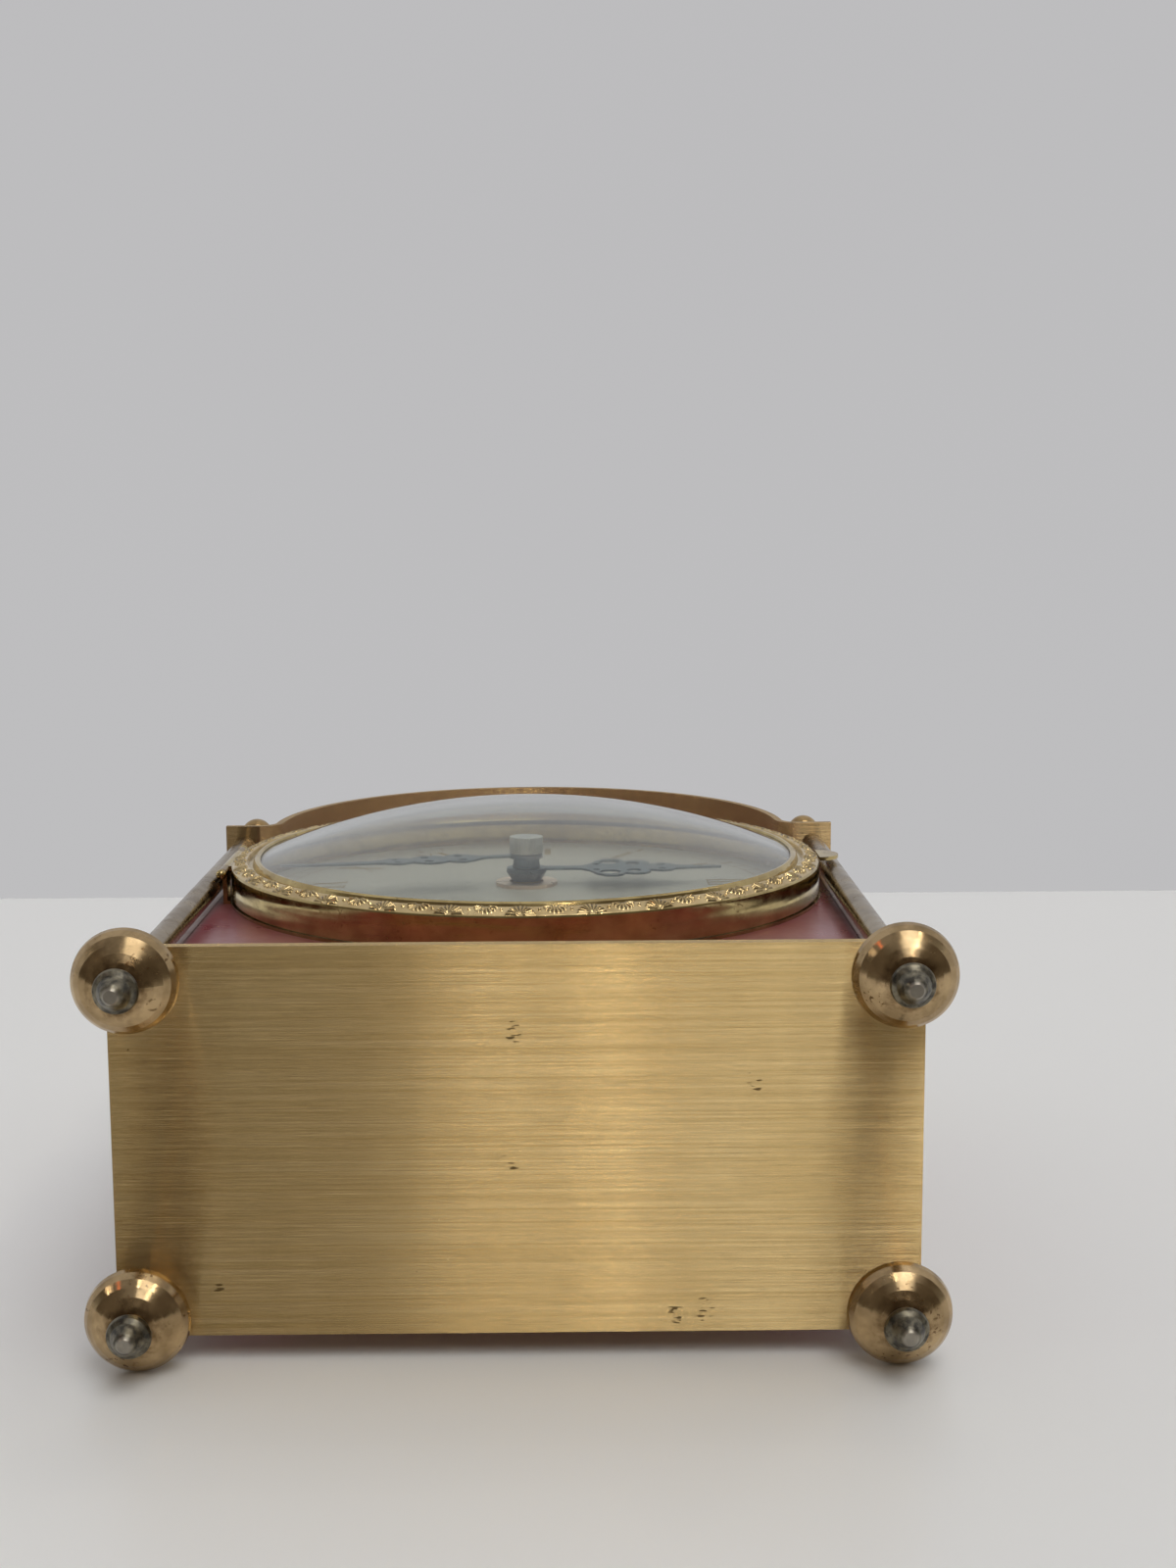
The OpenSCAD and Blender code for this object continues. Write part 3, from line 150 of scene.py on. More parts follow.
def polished_brass(name, bright, dull, roughness, cloud, stained):
    """Cloud is the size in mm of the dull clouds, and stained the share of brown spots."""
    made, tree, shader = material(name)
    place = add(tree, "TexCoord", {}).outputs["Object"]
    clouds = add(tree, "TexNoise", {"Vector": place, "Scale": per_metre(cloud), "Detail": 3.0,
                                    "Roughness": 0.6})
    shade = add(tree, "MapRange", {"Value": clouds, "From Min": 0.35, "From Max": 0.62})
    tone = add(tree, "Mix", {0: shade, 6: linear(dull), 7: linear(bright)}, data_type="RGBA")
    # finger salt leaves brown specks about 0.8 mm across, in groups 8 mm across
    speck = add(tree, "TexNoise", {"Vector": place, "Scale": per_metre(0.8), "Detail": 2.0})
    group = add(tree, "TexNoise", {"Vector": place, "Scale": per_metre(8), "Detail": 1.0})
    speck = add(tree, "MapRange", {"Value": speck, "From Min": 0.60, "From Max": 0.68})
    group = add(tree, "MapRange", {"Value": group, "From Min": 0.50, "From Max": 0.62,
                                   "To Max": stained})
    stain = add(tree, "Math", {0: speck, 1: group}, operation="MULTIPLY")
    tone = add(tree, "Mix", {0: stain, 6: tone, 7: linear("#5c4022")}, data_type="RGBA")
    # the buff leaves patches about 3 mm across a little less smooth
    wear = add(tree, "TexNoise", {"Vector": place, "Scale": per_metre(3), "Detail": 3.0})
    rough = add(tree, "MapRange", {"Value": wear, "From Min": 0.3, "From Max": 0.7,
                                   "To Min": roughness * 0.7, "To Max": roughness * 1.5})
    rough = add(tree, "Math", {0: stain, 1: 0.3, 2: rough}, operation="MULTIPLY_ADD")
    # buffing ripples, 0.5 mm apart
    ripple = add(tree, "TexNoise", {"Vector": place, "Scale": per_metre(0.5), "Detail": 2.0})
    bump = add(tree, "Bump", {"Height": ripple, "Strength": 0.3, "Distance": 0.01 * mm})
    join(tree, shader, {"Base Color": tone, "Metallic": 1.0, "Roughness": rough, "Normal": bump})
    return made, tree, shader, place


drop_place = (-55.9, -21.9, 7.0)  # on the left front foot
drop_radius = 1.0
drop_line = 0.2


def foot_brass():
    made, tree, shader, place = polished_brass("Polished brass, worn tips", "#c6ab82", "#9f8763",
                                               0.16, 5, 0.8)
    tone = shader.inputs["Base Color"].links[0].from_node
    rough = shader.inputs["Roughness"].links[0].from_node
    # a dried drop left a brown ring 2 mm across, half worn away over patches of 1 mm
    gone = add(tree, "TexNoise", {"Vector": place, "Scale": per_metre(1), "Detail": 2.0})
    gone = add(tree, "MapRange", {"Value": gone, "From Min": 0.42, "From Max": 0.52,
                                  "To Max": 0.7})
    away = add(tree, "VectorMath", {0: place, 1: [c * mm for c in drop_place]},
               operation="DISTANCE")
    ring = add(tree, "Math", {0: away, 1: drop_radius * mm, 2: drop_line * mm},
               operation="COMPARE")
    ring = add(tree, "Math", {0: ring, 1: gone}, operation="MULTIPLY")
    tone = add(tree, "Mix", {0: ring, 6: tone, 7: linear("#5c4426")}, data_type="RGBA")
    height = add(tree, "SeparateXYZ", {"Vector": place}).outputs["Z"]
    # the edge of the tarnish wanders up and down by about a millimetre
    edge = add(tree, "TexNoise", {"Vector": place, "Scale": per_metre(2.0), "Detail": 3.0,
                                  "Roughness": 0.65})
    ragged = add(tree, "Math", {0: edge, 1: 3.0 * mm, 2: height}, operation="MULTIPLY_ADD")
    brown = add(tree, "MapRange", {"Value": ragged, "From Min": 6.9 * mm, "From Max": 8.0 * mm,
                                   "To Min": 0.8, "To Max": 0.0})
    tone = add(tree, "Mix", {0: brown, 6: tone, 7: linear("#5b4126")}, data_type="RGBA")
    grey = add(tree, "MapRange", {"Value": ragged, "From Min": 6.3 * mm, "From Max": 6.9 * mm,
                                  "To Min": 1.0, "To Max": 0.0})
    # the old skin is mottled over spots 1.4 mm across, and worn pale where the foot stands
    mottle = add(tree, "TexNoise", {"Vector": place, "Scale": per_metre(1.4), "Detail": 3.0})
    mottle = add(tree, "MapRange", {"Value": mottle, "From Min": 0.38, "From Max": 0.62})
    old = add(tree, "Mix", {0: mottle, 6: linear("#4b4842"), 7: linear("#86806f")},
              data_type="RGBA")
    worn = add(tree, "MapRange", {"Value": height, "From Min": 0.15 * mm, "From Max": 0.5 * mm,
                                  "To Min": 0.7, "To Max": 0.0})
    old = add(tree, "Mix", {0: worn, 6: old, 7: linear("#aba498")}, data_type="RGBA")
    tone = add(tree, "Mix", {0: grey, 6: tone, 7: old}, data_type="RGBA")
    rough = add(tree, "Math", {0: grey, 1: 0.2, 2: rough}, operation="MULTIPLY_ADD")
    join(tree, shader, {"Base Color": tone, "Roughness": rough})
    return made


dress(foot_brass(), "foot_front_left", "foot_front_right", "foot_back_left", "foot_back_right")


# Columns and finials: drawn brass rod, buffed and left to go brown and grey with age.
# The rod is duller than the feet. The finials are turned brass nuts.

dress(polished_brass("Aged drawn brass", "#a6977f", "#80705a", 0.2, 9, 0.5)[0],
      "column_front_left", "column_front_right", "column_back_left", "column_back_right")
turned_brass = polished_brass("Turned brass", "#c4a775", "#a0835a", 0.15, 5, 0.4)[0]
dress(turned_brass, "finial_nuts")


# Roof strip: one strip of half-hard brass, bent over a former into shoulders and arch.
# It is brushed from left to right like the plate, in a darker and browner tone than the plate.

dress(brushed_brass("Brushed and bent brass", 0, "#cdb080", "#b09468"), "roof_strip")


# Case panels: steel sheet sprayed with burgundy lacquer and clear coat, set between square
# brass bars. Years of dust and polish have dulled the coat, so at a shallow angle it turns
# a dusty pink brown. The pale pink patches in its colour are partly dust and partly a
# painted sheen.

def lacquer():
    made, tree, shader = material("Burgundy lacquer on steel")
    place = add(tree, "TexCoord", {}).outputs["Object"]
    # the colour fades and deepens over about 30 mm
    clouds = add(tree, "TexNoise", {"Vector": place, "Scale": per_metre(30), "Detail": 2.0})
    tone = add(tree, "Mix", {0: clouds, 6: linear("#641828"), 7: linear("#872636")},
               data_type="RGBA")
    # hazy pale pink patches about 14 mm across, partly wiped dust and partly a painted sheen
    dust_and_sheen_noise = add(tree, "TexNoise", {"Vector": place, "Scale": per_metre(14), "Detail": 4.0,
                                  "Roughness": 0.55})
    dust_and_sheen = add(tree, "MapRange", {"Value": dust_and_sheen_noise, "From Min": 0.36, "From Max": 0.68,
                                  "To Min": 0.02, "To Max": 0.2})
    tone = add(tree, "Mix", {0: dust_and_sheen, 6: tone, 7: linear("#a3857f")}, data_type="RGBA")
    rough = add(tree, "MapRange", {"Value": dust_and_sheen_noise, "From Min": 0.35, "From Max": 0.65,
                                   "To Min": 0.22, "To Max": 0.5})
    # orange peel of the spray, 1.2 mm across
    peel = add(tree, "TexNoise", {"Vector": place, "Scale": per_metre(1.2), "Detail": 2.0})
    bump = add(tree, "Bump", {"Height": peel, "Strength": 0.2, "Distance": 0.02 * mm})
    join(tree, shader, {"Base Color": tone, "Roughness": rough, "Normal": bump,
                        "Coat Weight": 0.7, "Coat Roughness": 0.22})
    return made


burgundy = lacquer()
dress(burgundy, "front_panel", "side_panel_left", "side_panel_right", "back_panel")
dress(polished_brass("Square brass bar", "#c0a470", "#9b7f52", 0.2, 10, 0.3)[0], "corner_bars")


# Hems: the upright edges of the front panel are folded over into narrow hems, which
# reach behind the columns and keep light from showing between them and the panel.

hem_reach = 1.9 * mm
hem_lap = 0.2 * mm
hem_steps = 8


def new_piece(name, points, faces, finish, body, smooth=True):
    mesh = bpy.data.meshes.new(name)
    mesh.from_pydata([tuple(p) for p in points], [], faces)
    mesh.polygons.foreach_set("use_smooth", [smooth] * len(faces))
    mesh.materials.append(finish)
    made = bpy.data.objects.new(name, mesh)
    scene.collection.objects.link(made)
    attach(made, body)
    return made


def hem(name, side):
    """Side is -1 for the left edge of the panel and 1 for the right."""
    low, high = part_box("front_panel")
    foot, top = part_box("side_panel_left")
    half, middle = (high[1] - low[1]) / 2, (high[1] + low[1]) / 2
    edge = high[0] if side > 0 else low[0]
    outline = [(edge - side * hem_lap, middle - half)]
    for i in range(hem_steps + 1):
        turn = math.pi * (i / hem_steps - 0.5)
        outline.append((edge + side * (hem_reach - half + half * math.cos(turn)),
                        middle + half * math.sin(turn)))
    outline.append((edge - side * hem_lap, middle + half))
    if side < 0:
        outline.reverse()
    count = len(outline)
    points = [(x, y, z) for z in (foot[2], top[2]) for x, y in outline]
    faces = [(i, (i + 1) % count, (i + 1) % count + count, i + count) for i in range(count)]
    faces += [tuple(reversed(range(count))), tuple(range(count, 2 * count))]
    new_piece(name, points, faces, burgundy, "case", smooth=False)


hem("panel_hem_left", -1)
hem("panel_hem_right", 1)


# Back door: thin brass sheet, brushed upright, on two small butt hinges. The hinges are
# bent sheet on steel pins, and the turned knob is riveted through the door.

dress(brushed_brass("Brushed brass sheet", 2, "#d6ba86", "#bfa26f"), "back_door")
dress(turned_brass, "door_knob")
dress(polished_brass("Rolled brass leaf", "#c2a672", "#9e8254", 0.2, 6, 0.3)[0],
      "door_hinge_leaves")


def steel(name, bright, dull, roughness):
    made, tree, shader = material(name)
    place = add(tree, "TexCoord", {}).outputs["Object"]
    # the skin of the metal changes over spots about 3 mm across
    spot = add(tree, "TexNoise", {"Vector": place, "Scale": per_metre(3), "Detail": 3.0,
                                  "Roughness": 0.6})
    spot = add(tree, "MapRange", {"Value": spot, "From Min": 0.3, "From Max": 0.7})
    tone = add(tree, "Mix", {0: spot, 6: linear(dull), 7: linear(bright)}, data_type="RGBA")
    rough = add(tree, "MapRange", {"Value": spot, "To Min": roughness * 0.8,
                                   "To Max": roughness * 1.3})
    # file and emery marks, drawn 0.3 mm apart
    emery = add(tree, "TexNoise", {"Vector": place, "Scale": per_metre(0.3), "Detail": 2.0})
    bump = add(tree, "Bump", {"Height": emery, "Strength": 0.3, "Distance": 0.01 * mm})
    join(tree, shader, {"Base Color": tone, "Metallic": 1.0, "Roughness": rough, "Normal": bump})
    return made


cut_steel = steel("Cut steel", "#b3b1ab", "#87847e", 0.26)
dress(cut_steel, "door_hinge_pins")


# Bezel: a pressed and spun ring of thin brass that hinges at the left and closes on a flat
# seat ring. Its flank is polished and gone brown, its front is chased all round, and a
# turned-over lip holds the glass.

def spun_brass():
    made, tree, shader, place = polished_brass("Spun brass", "#d4bf88", "#b49e6e", 0.13, 7, 0.4)
    # the spinning tool leaves shallow waves, 3 mm high on the flank and 25 mm long round it
    flat = add(tree, "Mapping", {"Vector": place,
                                 "Scale": [per_metre(25), per_metre(3), per_metre(25)]})
    wave = add(tree, "TexNoise", {"Vector": flat, "Scale": 1.0, "Detail": 1.0})
    polish = shader.inputs["Normal"].links[0].from_node
    bump = add(tree, "Bump", {"Height": wave, "Strength": 1.0, "Distance": 0.15 * mm,
                              "Normal": polish})
    join(tree, shader, {"Normal": bump})
    return made


dress(spun_brass(), "bezel_ring", "bezel_tab", "bezel_pin", "glass_ring")
dress(polished_brass("Flat brass ring", "#bda273", "#97805a", 0.18, 6, 0.3)[0], "bezel_seat")


# Chased band: fans that stand on the outer edge of the bezel and half rosettes that hang
# from its inner edge, by turns, with a bead between each two. It is rolled in relief, and
# old polish has dried dark between the ribs.

dial_centre = Vector((0, 0, 100.0 * mm))
centre_depth = 2.9  # the middle plane of the base plate lies this far back
# section of the band from its outer edge inward, radius and front distance
band_line = [(58.02, 30.72), (57.95, 30.9), (57.75, 31.07), (57.45, 31.2), (56.4, 31.64),
             (55.35, 32.05), (55.0, 31.95), (54.85, 31.6)]
band_radius = 56.6
band_rows = 26
band_turns = 2900
band_edge = 0.35  # plain strip outside the fans
edge_drop = 0.1  # the outermost rows lie under the skin of the bezel
repeats = 29
relief = 0.36
relief_out = 0.42  # share of the relief that points away from the dial's centre
relief_front = 0.9
# fan and rosette: place in shares of the pitch, foot, direction, reach, and number of ribs
fans = [(0.0, 0.15, 1, 2.75, 9), (0.5, 2.75, -1, 2.35, 8)]
fan_lap = 0.1  # reach of the ribs behind the foot
fan_eye = 0.35
eye_rim = 0.3
fan_rim = 0.35
rib_sharpness = 0.7
dirt_depth = 0.8
ring_radius = 0.75
ring_half = 0.22
bead_along = 0.27
bead_across = 1.75
bead_radius = 0.38
bead_height = 1.1


def dial_point(radius, angle, front):
    """Place by radius, clockwise angle from twelve in degrees, and front distance, in mm."""
    turn = math.radians(angle)
    return dial_centre + Vector((radius * math.sin(turn), centre_depth - front,
                                 radius * math.cos(turn))) * mm


def chased_brass():
    made, tree, shader, _ = polished_brass("Chased brass, dirt in the hollows", "#e8cf9a",
                                           "#cab07e", 0.15, 7, 0.4)
    tone = shader.inputs["Base Color"].links[0].from_node
    dirt = add(tree, "Attribute", {}, attribute_name="dirt").outputs["Fac"]
    tone = add(tree, "Mix", {0: dirt, 6: tone, 7: linear("#3c2c18")}, data_type="RGBA")
    join(tree, shader, {"Base Color": tone})
    return made


def chased(s, w, pitch):
    """Height of the relief and share of dirt, s mm along the band from a fan and w mm across."""
    height, dirt = 0.0, 0.0
    for part, foot, turned, reach, ribs in fans:
        across = turned * (w - foot)
        along = (s - part * pitch + pitch / 2) % pitch - pitch / 2
        out = math.hypot(along, across)
        if fan_eye < out < reach and across > -fan_lap:
            lean = math.atan2(across, along) / math.pi * ribs
            edge = min(1, (out - fan_eye) / eye_rim) * min(1, (reach - out) / fan_rim)
            rib = (0.5 - 0.5 * math.cos(2 * math.pi * lean)) ** rib_sharpness
            height = max(height, edge * rib)
            dirt = max(dirt, dirt_depth * edge * (1 - rib))
        if turned < 0:
            height = max(height, max(0, 1 - abs(out - ring_radius) / ring_half))
    for side in (-1, 1):
        along = (s - side * pitch * bead_along + pitch / 2) % pitch - pitch / 2
        away = math.hypot(along, w - bead_across) / bead_radius
        height = max(height, bead_height * max(0, 1 - away ** 2) ** 0.5)
    return height, dirt


def chased_band():
    lengths = [0.0]
    for a, b in zip(band_line, band_line[1:]):
        lengths.append(lengths[-1] + math.dist(a, b))
    pitch = 2 * math.pi * band_radius / repeats
    points, faces, hollows = [], [], []
    for row in range(band_rows + 1):
        reach = lengths[-1] * row / band_rows
        k = max(i for i in range(len(lengths) - 1) if lengths[i] <= reach + 1e-9)
        part = (reach - lengths[k]) / (lengths[k + 1] - lengths[k])
        radius = band_line[k][0] + part * (band_line[k + 1][0] - band_line[k][0])
        front = band_line[k][1] + part * (band_line[k + 1][1] - band_line[k][1])
        # the relief rises over the first three rows and ends over the last two
        rim = min(1, row / 3, (band_rows - row) / 2)
        drop = edge_drop if row in (0, band_rows) else 0
        for i in range(band_turns):
            height, dirt = chased(pitch * repeats * i / band_turns, reach - band_edge, pitch)
            rise = relief * height * rim - drop
            points.append(dial_point(radius + rise * relief_out, 180 + 360 * i / band_turns,
                                     front + rise * relief_front))
            hollows.append(dirt * rim)
    for row in range(band_rows):
        for i in range(band_turns):
            j = (i + 1) % band_turns
            below, above = row * band_turns, (row + 1) * band_turns
            faces.append((below + i, below + j, above + j, above + i))
    made = new_piece("bezel_chasing", points, faces, chased_brass(), "bezel")
    made.data.attributes.new("dirt", "FLOAT", "POINT").data.foreach_set("value", hollows)


chased_band()


# Glass: a shallow watch-glass dome of soda glass with a faint green tint, 1.6 mm thick. Smears
# of old polish haze it a little, so that it holds the grey of the room at a shallow angle.

def clear_glass():
    made, tree, shader = material("Soda glass")
    place = add(tree, "TexCoord", {}).outputs["Object"]
    # polish smears about 16 mm across
    smear = add(tree, "TexNoise", {"Vector": place, "Scale": per_metre(16), "Detail": 3.0,
                                   "Roughness": 0.6})
    rough = add(tree, "MapRange", {"Value": smear, "From Min": 0.4, "From Max": 0.75,
                                   "To Min": 0.01, "To Max": 0.06})
    join(tree, shader, {"Base Color": linear("#eef3f0"), "Roughness": rough, "IOR": 1.5,
                        "Transmission Weight": 1.0})
    clear = add(tree, "BsdfTransparent", {"Color": linear("#f1f3f1")})
    shadow = add(tree, "LightPath", {}).outputs["Is Shadow Ray"]
    mixed = add(tree, "MixShader", {0: shadow, 1: shader.outputs[0], 2: clear})
    join(tree, tree.nodes["Material Output"], {"Surface": mixed})
    return made


dress(clear_glass(), "glass")


# Dial: a brass disc with a dull silver-white finish, plain hour figures and a minute track,
# and a copper grommet in its middle. No dark print shows through the glass in the
# photograph, so the figures are gilt.

def silvering():
    made, tree, shader = material("Silver-white finish on brass")
    place = add(tree, "TexCoord", {}).outputs["Object"]
    # the silvering is uneven over about 18 mm
    clouds = add(tree, "TexNoise", {"Vector": place, "Scale": per_metre(18), "Detail": 3.0})
    tone = add(tree, "Mix", {0: clouds, 6: linear("#a9a49c"), 7: linear("#bfb9b0")},
               data_type="RGBA")
    # specks of tarnish, 1.5 mm across
    speck = add(tree, "TexNoise", {"Vector": place, "Scale": per_metre(1.5), "Detail": 2.0})
    speck = add(tree, "MapRange", {"Value": speck, "From Min": 0.70, "From Max": 0.76,
                                   "To Max": 0.5})
    tone = add(tree, "Mix", {0: speck, 6: tone, 7: linear("#6f6e66")}, data_type="RGBA")
    # the grain of the silvering, drawn 0.4 mm across
    grain = add(tree, "TexNoise", {"Vector": place, "Scale": per_metre(0.4), "Detail": 2.0})
    bump = add(tree, "Bump", {"Height": grain, "Strength": 0.3, "Distance": 0.01 * mm})
    join(tree, shader, {"Base Color": tone, "Metallic": 0.4, "Roughness": 0.42, "Normal": bump})
    return made


dress(silvering(), "dial")
dress(polished_brass("Spun copper", "#e8d2c0", "#d2b8a4", 0.3, 3, 0.3)[0], "dial_grommet")

ink_front = 25.03
figure_low = 36.2
figure_high = 44.6
thick, thin, serif = 1.35, 0.42, 0.34
# width of each letter, and its strokes from foot 0 to head 1
strokes = {
    "I": (2.5, [((0, 0), (0, 1), thick), ((-1.15, 0), (1.15, 0), serif),
                ((-1.15, 1), (1.15, 1), serif)]),
    "V": (5.3, [((-1.95, 1), (0, 0), thick), ((1.95, 1), (0.1, 0), thin),
                ((-3.0, 1), (-0.9, 1), serif), ((1.1, 1), (2.8, 1), serif)]),
    "X": (5.3, [((-1.85, 1), (1.85, 0), thick), ((1.85, 1), (-1.85, 0), thin),
                ((-2.9, 1), (-0.8, 1), serif), ((1.0, 1), (2.7, 1), serif),
                ((-2.7, 0), (-1.0, 0), serif), ((0.8, 0), (2.9, 0), serif)]),
}
figures = ["XII", "I", "II", "III", "IIII", "V", "VI", "VII", "VIII", "IX", "X", "XI"]
track_low = (46.9, 47.1)
track_high = (49.9, 50.1)
minute_half = 0.13
hour_half = 0.42


def gilt_ink():
    made, tree, shader = material("Gilt printing ink")
    place = add(tree, "TexCoord", {}).outputs["Object"]
    # bronze powder in the ink clumps over about 1 mm
    powder = add(tree, "TexNoise", {"Vector": place, "Scale": per_metre(1), "Detail": 3.0})
    tone = add(tree, "Mix", {0: powder, 6: linear("#7d6a45"), 7: linear("#9c8760")},
               data_type="RGBA")
    join(tree, shader, {"Base Color": tone, "Metallic": 0.5, "Roughness": 0.4})
    return made


def printed_dial():
    points, faces = [], []

    def patch(corners):
        """One square of ink, by radius and angle of its corners."""
        faces.append(tuple(range(len(points), len(points) + 4)))
        points.extend(dial_point(radius, angle, ink_front) for radius, angle in corners)

    for hour, figure in enumerate(figures):
        x = -sum(strokes[c][0] for c in figure) / 2
        for letter in figure:
            wide, bars = strokes[letter]
            for (x0, h0), (x1, h1), weight in bars:
                a = Vector((x + wide / 2 + x0, figure_low + h0 * (figure_high - figure_low)))
                b = Vector((x + wide / 2 + x1, figure_low + h1 * (figure_high - figure_low)))
                side = Vector((0, weight / 2)) if h0 == h1 else Vector((weight / 2, 0))
                patch([(c.length, 30 * hour + math.degrees(math.atan2(c.x, c.y)))
                       for c in (a - side, a + side, b + side, b - side)])
            x += wide
    for i in range(360):
        for inner, outer in (track_low, track_high):
            patch([(inner, i), (outer, i), (outer, i + 1), (inner, i + 1)])
    low, high = track_low[1], track_high[0]
    for i in range(60):
        half = hour_half if i % 5 == 0 else minute_half
        patch([(r, 6 * i + math.degrees(side * half / r))
               for r, side in ((low, -1), (high, -1), (high, 1), (low, 1))])
    new_piece("dial_print", points, faces, gilt_ink(), "case", smooth=False)


printed_dial()


# Hands: pierced from thin steel and blued over a flame, which gives a grey-blue skin.
# The hand nut is turned and knurled, and nickelled, which keeps it paler than the hands.

blued = steel("Blued steel", "#6f7c82", "#4d575c", 0.34)
dress(blued, "hour_hand", "minute_hand")
dress(steel("Nickelled brass", "#d2d0c6", "#b3b1a7", 0.34), "hand_nut")


# Movement: plates, pillars, wheels and cocks of rolled brass, grained and lacquered, which
# is finer and duller than the polish of the case. Arbors, click work and escapement are
# cut steel, and springs and screws are blued.

dress(polished_brass("Grained rolled brass", "#d6bb84", "#c6a971", 0.27, 12, 0.06)[0],
      "hour_wheel", "minute_wheel", "setting_knob", "front_mplate", "back_mplate", "pillars",
      "mount_posts", "barrel", "barrel_cap", "winding_key", "intermediate_wheel",
      "centre_wheel", "third_wheel", "fourth_wheel", "pallet_cock", "balance", "balance_cock")
dress(cut_steel, "minute_arbor", "barrel_arbor", "ratchet", "click", "lever", "escape_wheel")
dress(blued, "hairspring", "movement_screws", "mainspring", "click_spring")


# Stage: the clock lies on its back on a white table before a pale wall. In its own frame the
# table is the upright plane behind it. A pale floor under the feet shows only from above.

table_depth = 39.1 * mm
table_edge = -170 * mm
wall_height = 397.3 * mm
far = 7


def one_sided(made, tree, surface):
    """Seen from its front only."""
    clear = add(tree, "BsdfTransparent", {})
    back = add(tree, "NewGeometry", {}).outputs["Backfacing"]
    mixed = add(tree, "MixShader", {0: back, 1: surface, 2: clear})
    join(tree, tree.nodes["Material Output"], {"Surface": mixed})
    return made


def table_paint(name, roughness):
    made, tree, shader = material(name)
    place = add(tree, "TexCoord", {}).outputs["Object"]
    # wiping leaves faint clouds about 300 mm across
    clouds = add(tree, "TexNoise", {"Vector": place, "Scale": per_metre(300), "Detail": 3.0})
    tone = add(tree, "Mix", {0: clouds, 6: linear("#ebedee"), 7: linear("#f1f2f3")},
               data_type="RGBA")
    join(tree, shader, {"Base Color": tone, "Roughness": roughness, "Specular IOR Level": 0.3})
    return one_sided(made, tree, shader.outputs[0])


def wall_paint():
    made, tree, _ = material("Wall paint")
    place = add(tree, "TexCoord", {}).outputs["Object"]
    # the roller leaves faint clouds about 450 mm across
    clouds = add(tree, "TexNoise", {"Vector": place, "Scale": per_metre(450), "Detail": 3.0})
    tone = add(tree, "Mix", {0: clouds, 6: linear("#bab9bb"), 7: linear("#c1c1c2")},
               data_type="RGBA")
    glow = add(tree, "Emission", {"Color": tone})
    return one_sided(made, tree, glow.outputs[0])


def plane(name, corners, finish, mirrored=True, lights=True):
    """A square of the stage, which the metal mirrors and which throws light back, or not."""
    mesh = bpy.data.meshes.new(name)
    mesh.from_pydata(corners, [], [(0, 1, 2, 3)])
    mesh.materials.append(finish)
    made = bpy.data.objects.new(name, mesh)
    scene.collection.objects.link(made)
    made.visible_shadow = False
    made.visible_glossy = mirrored
    made.visible_diffuse = lights


wall_finish = wall_paint()
plane("stage_table", [(-far, table_depth, table_edge), (far, table_depth, table_edge),
                      (far, table_depth, wall_height), (-far, table_depth, wall_height)],
      table_paint("White laminate", 0.3), lights=False)
plane("stage_wall", [(-far, table_depth, wall_height), (far, table_depth, wall_height),
                     (far, -far, wall_height), (-far, -far, wall_height)], wall_finish)
plane("stage_floor", [(-far, -far, 0), (far, -far, 0), (far, far, 0), (-far, far, 0)],
      table_paint("Floor paint", 0.55), mirrored=False, lights=False)
# low ends between floor and wall, which only the other views show
for name, start, end in (("stage_end", (-far, -far), (far, -far)),
                         ("stage_end_left", (-far, far), (-far, -far)),
                         ("stage_end_right", (far, -far), (far, far))):
    plane(name, [(*start, 0), (*start, wall_height), (*end, wall_height), (*end, 0)],
          wall_finish, lights=False)


# Light: small ceiling lamps over the table, which show as points in the polished brass and
# as streaks in the brushed brass, in a room whose far side behind the camera is dim.

lamp_distance = 2.0
lamp_radius = 0.05
seen_from = Vector((-61, -32, 7)) * mm  # the left front foot, in which the photograph shows them
lamps = [((-0.015, -0.90, -0.436), 2.5), ((0.061, -0.99, -0.127), 2.5),
         ((0.047, -0.905, 0.42), 2.5), ((0.289, -0.631, -0.721), 2.5),
         ((0.43, -0.78, -0.446), 3.5), ((0.502, -0.856, -0.113), 3.5),
         ((0.474, -0.74, 0.476), 3.5), ((-0.845, -0.507, -0.168), 1.5),
         ((-0.80, -0.56, -0.20), 1.5)]


def lamp(name, direction, watts, colour="#fff3e0"):
    data = bpy.data.lights.new(name, "POINT")
    data.energy = watts
    data.color = linear(colour)[:3]
    data.shadow_soft_size = lamp_radius
    made = bpy.data.objects.new(name, data)
    made.location = seen_from + Vector(direction).normalized() * lamp_distance
    scene.collection.objects.link(made)


for i, (direction, watts) in enumerate(lamps):
    lamp(f"lamp_{i}", direction, watts)
lamp("orange_lamp", (-0.60, -0.75, -0.27), 0.5, "#ff7a2c")

room_strength = 2.35
row_start = 0.016  # rows of ceiling lights, measured across in parts of a unit direction
row_spacing = 0.07
row_contrast = 0.3


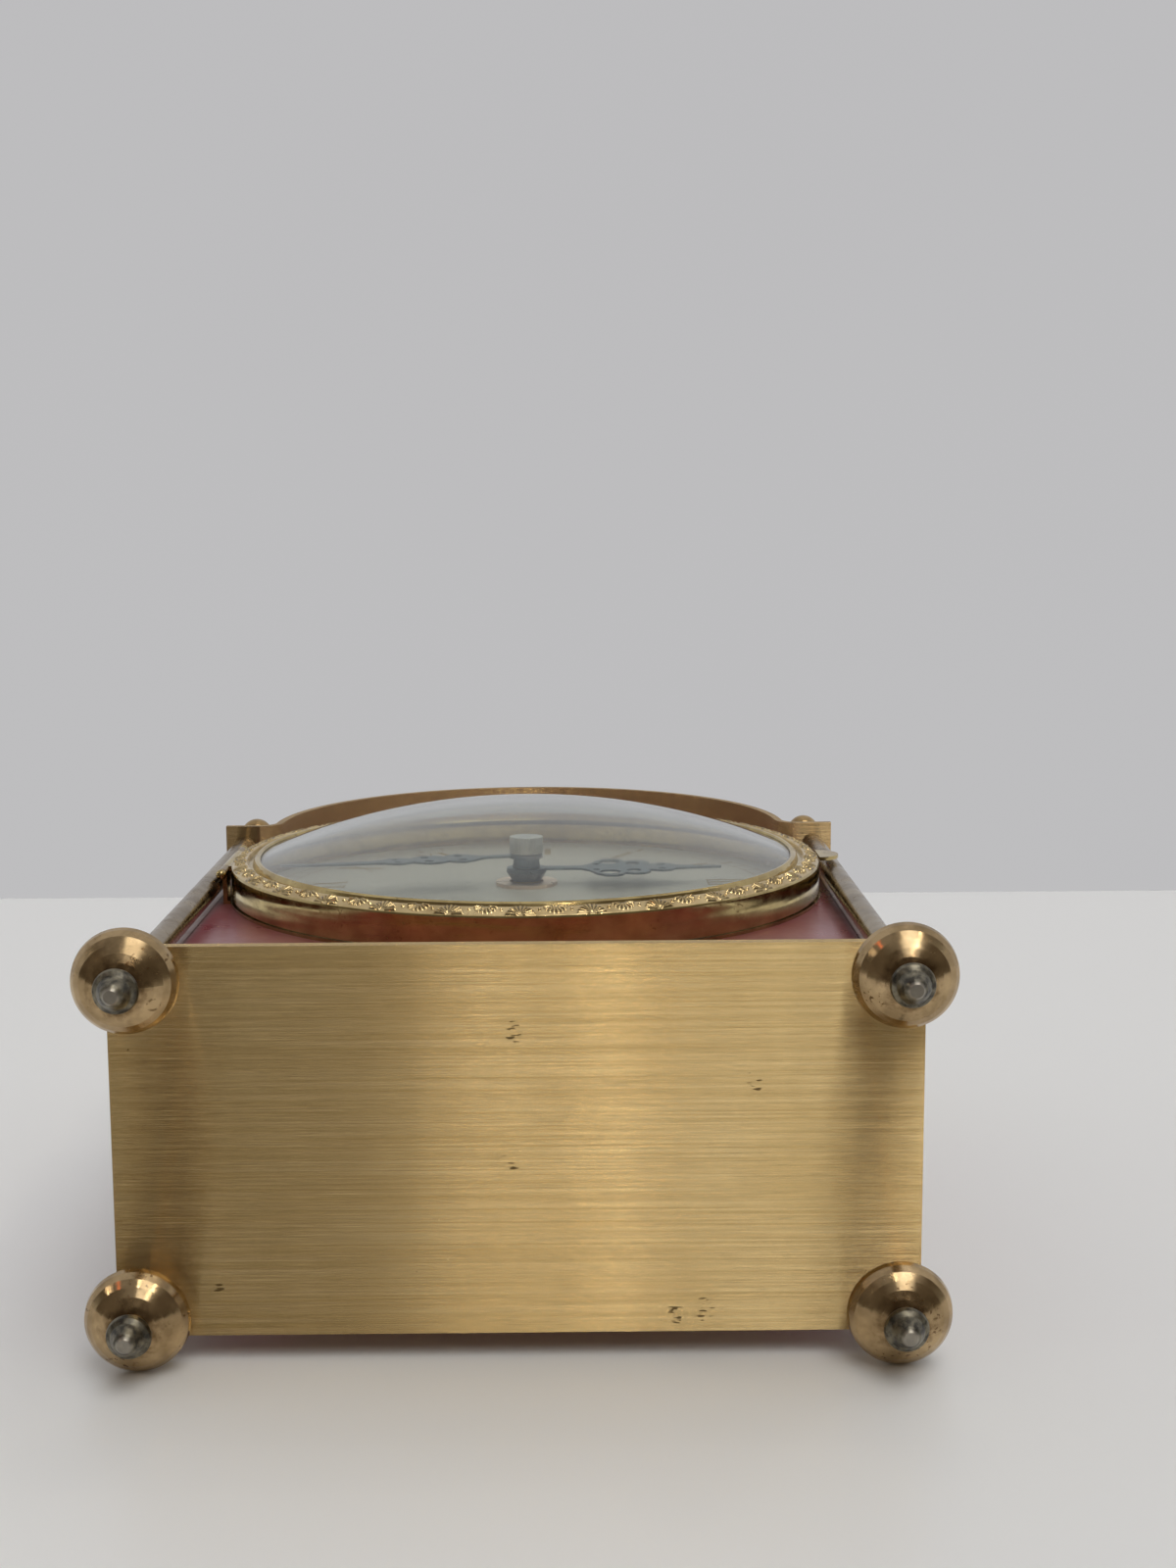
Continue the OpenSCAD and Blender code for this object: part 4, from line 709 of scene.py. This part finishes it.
def room():
    world = bpy.data.worlds.new("Room")
    scene.world = world
    world.use_nodes = True
    tree = world.node_tree
    direction = add(tree, "TexCoord", {}).outputs["Generated"]
    parts = add(tree, "SeparateXYZ", {"Vector": direction}).outputs
    # the far side of the room is dark, and the pale wall stands over the table
    side = add(tree, "MapRange", {"Value": parts["Z"], "From Min": -0.12, "From Max": 0.2})
    walls = add(tree, "Mix", {0: side, 6: linear("#423d37"), 7: linear("#868b89")},
                data_type="RGBA")
    # the table fills the lower part all round
    below = add(tree, "MapRange", {"Value": parts["Y"], "From Min": 0.2, "From Max": 0.36})
    walls = add(tree, "Mix", {0: below, 6: walls, 7: linear("#7f7f7e")}, data_type="RGBA")
    # the lit field of the ceiling begins over the left side of the clock
    begin = add(tree, "MapRange", {"Value": parts["X"], "From Min": -0.070, "From Max": -0.040})
    end = add(tree, "MapRange", {"Value": parts["X"], "From Min": 0.5, "From Max": 0.35})
    field = add(tree, "Math", {0: begin, 1: end}, operation="MULTIPLY")
    rise = add(tree, "MapRange", {"Value": parts["X"], "From Min": 0.0, "From Max": 0.16})
    bright = add(tree, "Mix", {0: rise, 6: linear("#e1e0de"), 7: linear("#ffffff")},
                 data_type="RGBA")
    # its lights hang in rows, which the brushed brass shows as faint upright bands
    rows = add(tree, "Math", {0: parts["X"], 1: row_start}, operation="SUBTRACT")
    rows = add(tree, "Math", {0: rows, 1: 2 * math.pi / row_spacing}, operation="MULTIPLY")
    rows = add(tree, "Math", {0: rows}, operation="COSINE")
    rows = add(tree, "Math", {0: rows, 1: row_contrast, 2: 1.0}, operation="MULTIPLY_ADD")
    bright = add(tree, "VectorMath", {0: bright, "Scale": rows}, operation="SCALE")
    ceiling = add(tree, "Mix", {0: field, 6: linear("#605e5c"), 7: bright}, data_type="RGBA")
    over = add(tree, "MapRange", {"Value": parts["Y"], "From Min": -0.58, "From Max": -0.74})
    both = add(tree, "Mix", {0: over, 6: walls, 7: ceiling}, data_type="RGBA")
    join(tree, tree.nodes["Background"], {"Color": both, "Strength": room_strength})


room()


# Camera: held low over the table, looking along it at the underside of the base plate.

camera = bpy.data.objects.new("camera", bpy.data.cameras.new("camera"))
camera.data.lens = 46.567
camera.data.clip_start = 0.01
right = Vector((0.9999, 0.0049, -0.0117)).normalized()
ahead = Vector((0.0109, 0.1419, 0.9898)).normalized()
right = (right - ahead * right.dot(ahead)).normalized()
up = right.cross(ahead)
aimed = Matrix((right, up, -ahead)).transposed().to_4x4()
camera.matrix_world = Matrix.Translation((7.98 * mm, -99.73 * mm, -298.96 * mm)) @ aimed
scene.collection.objects.link(camera)
scene.camera = camera
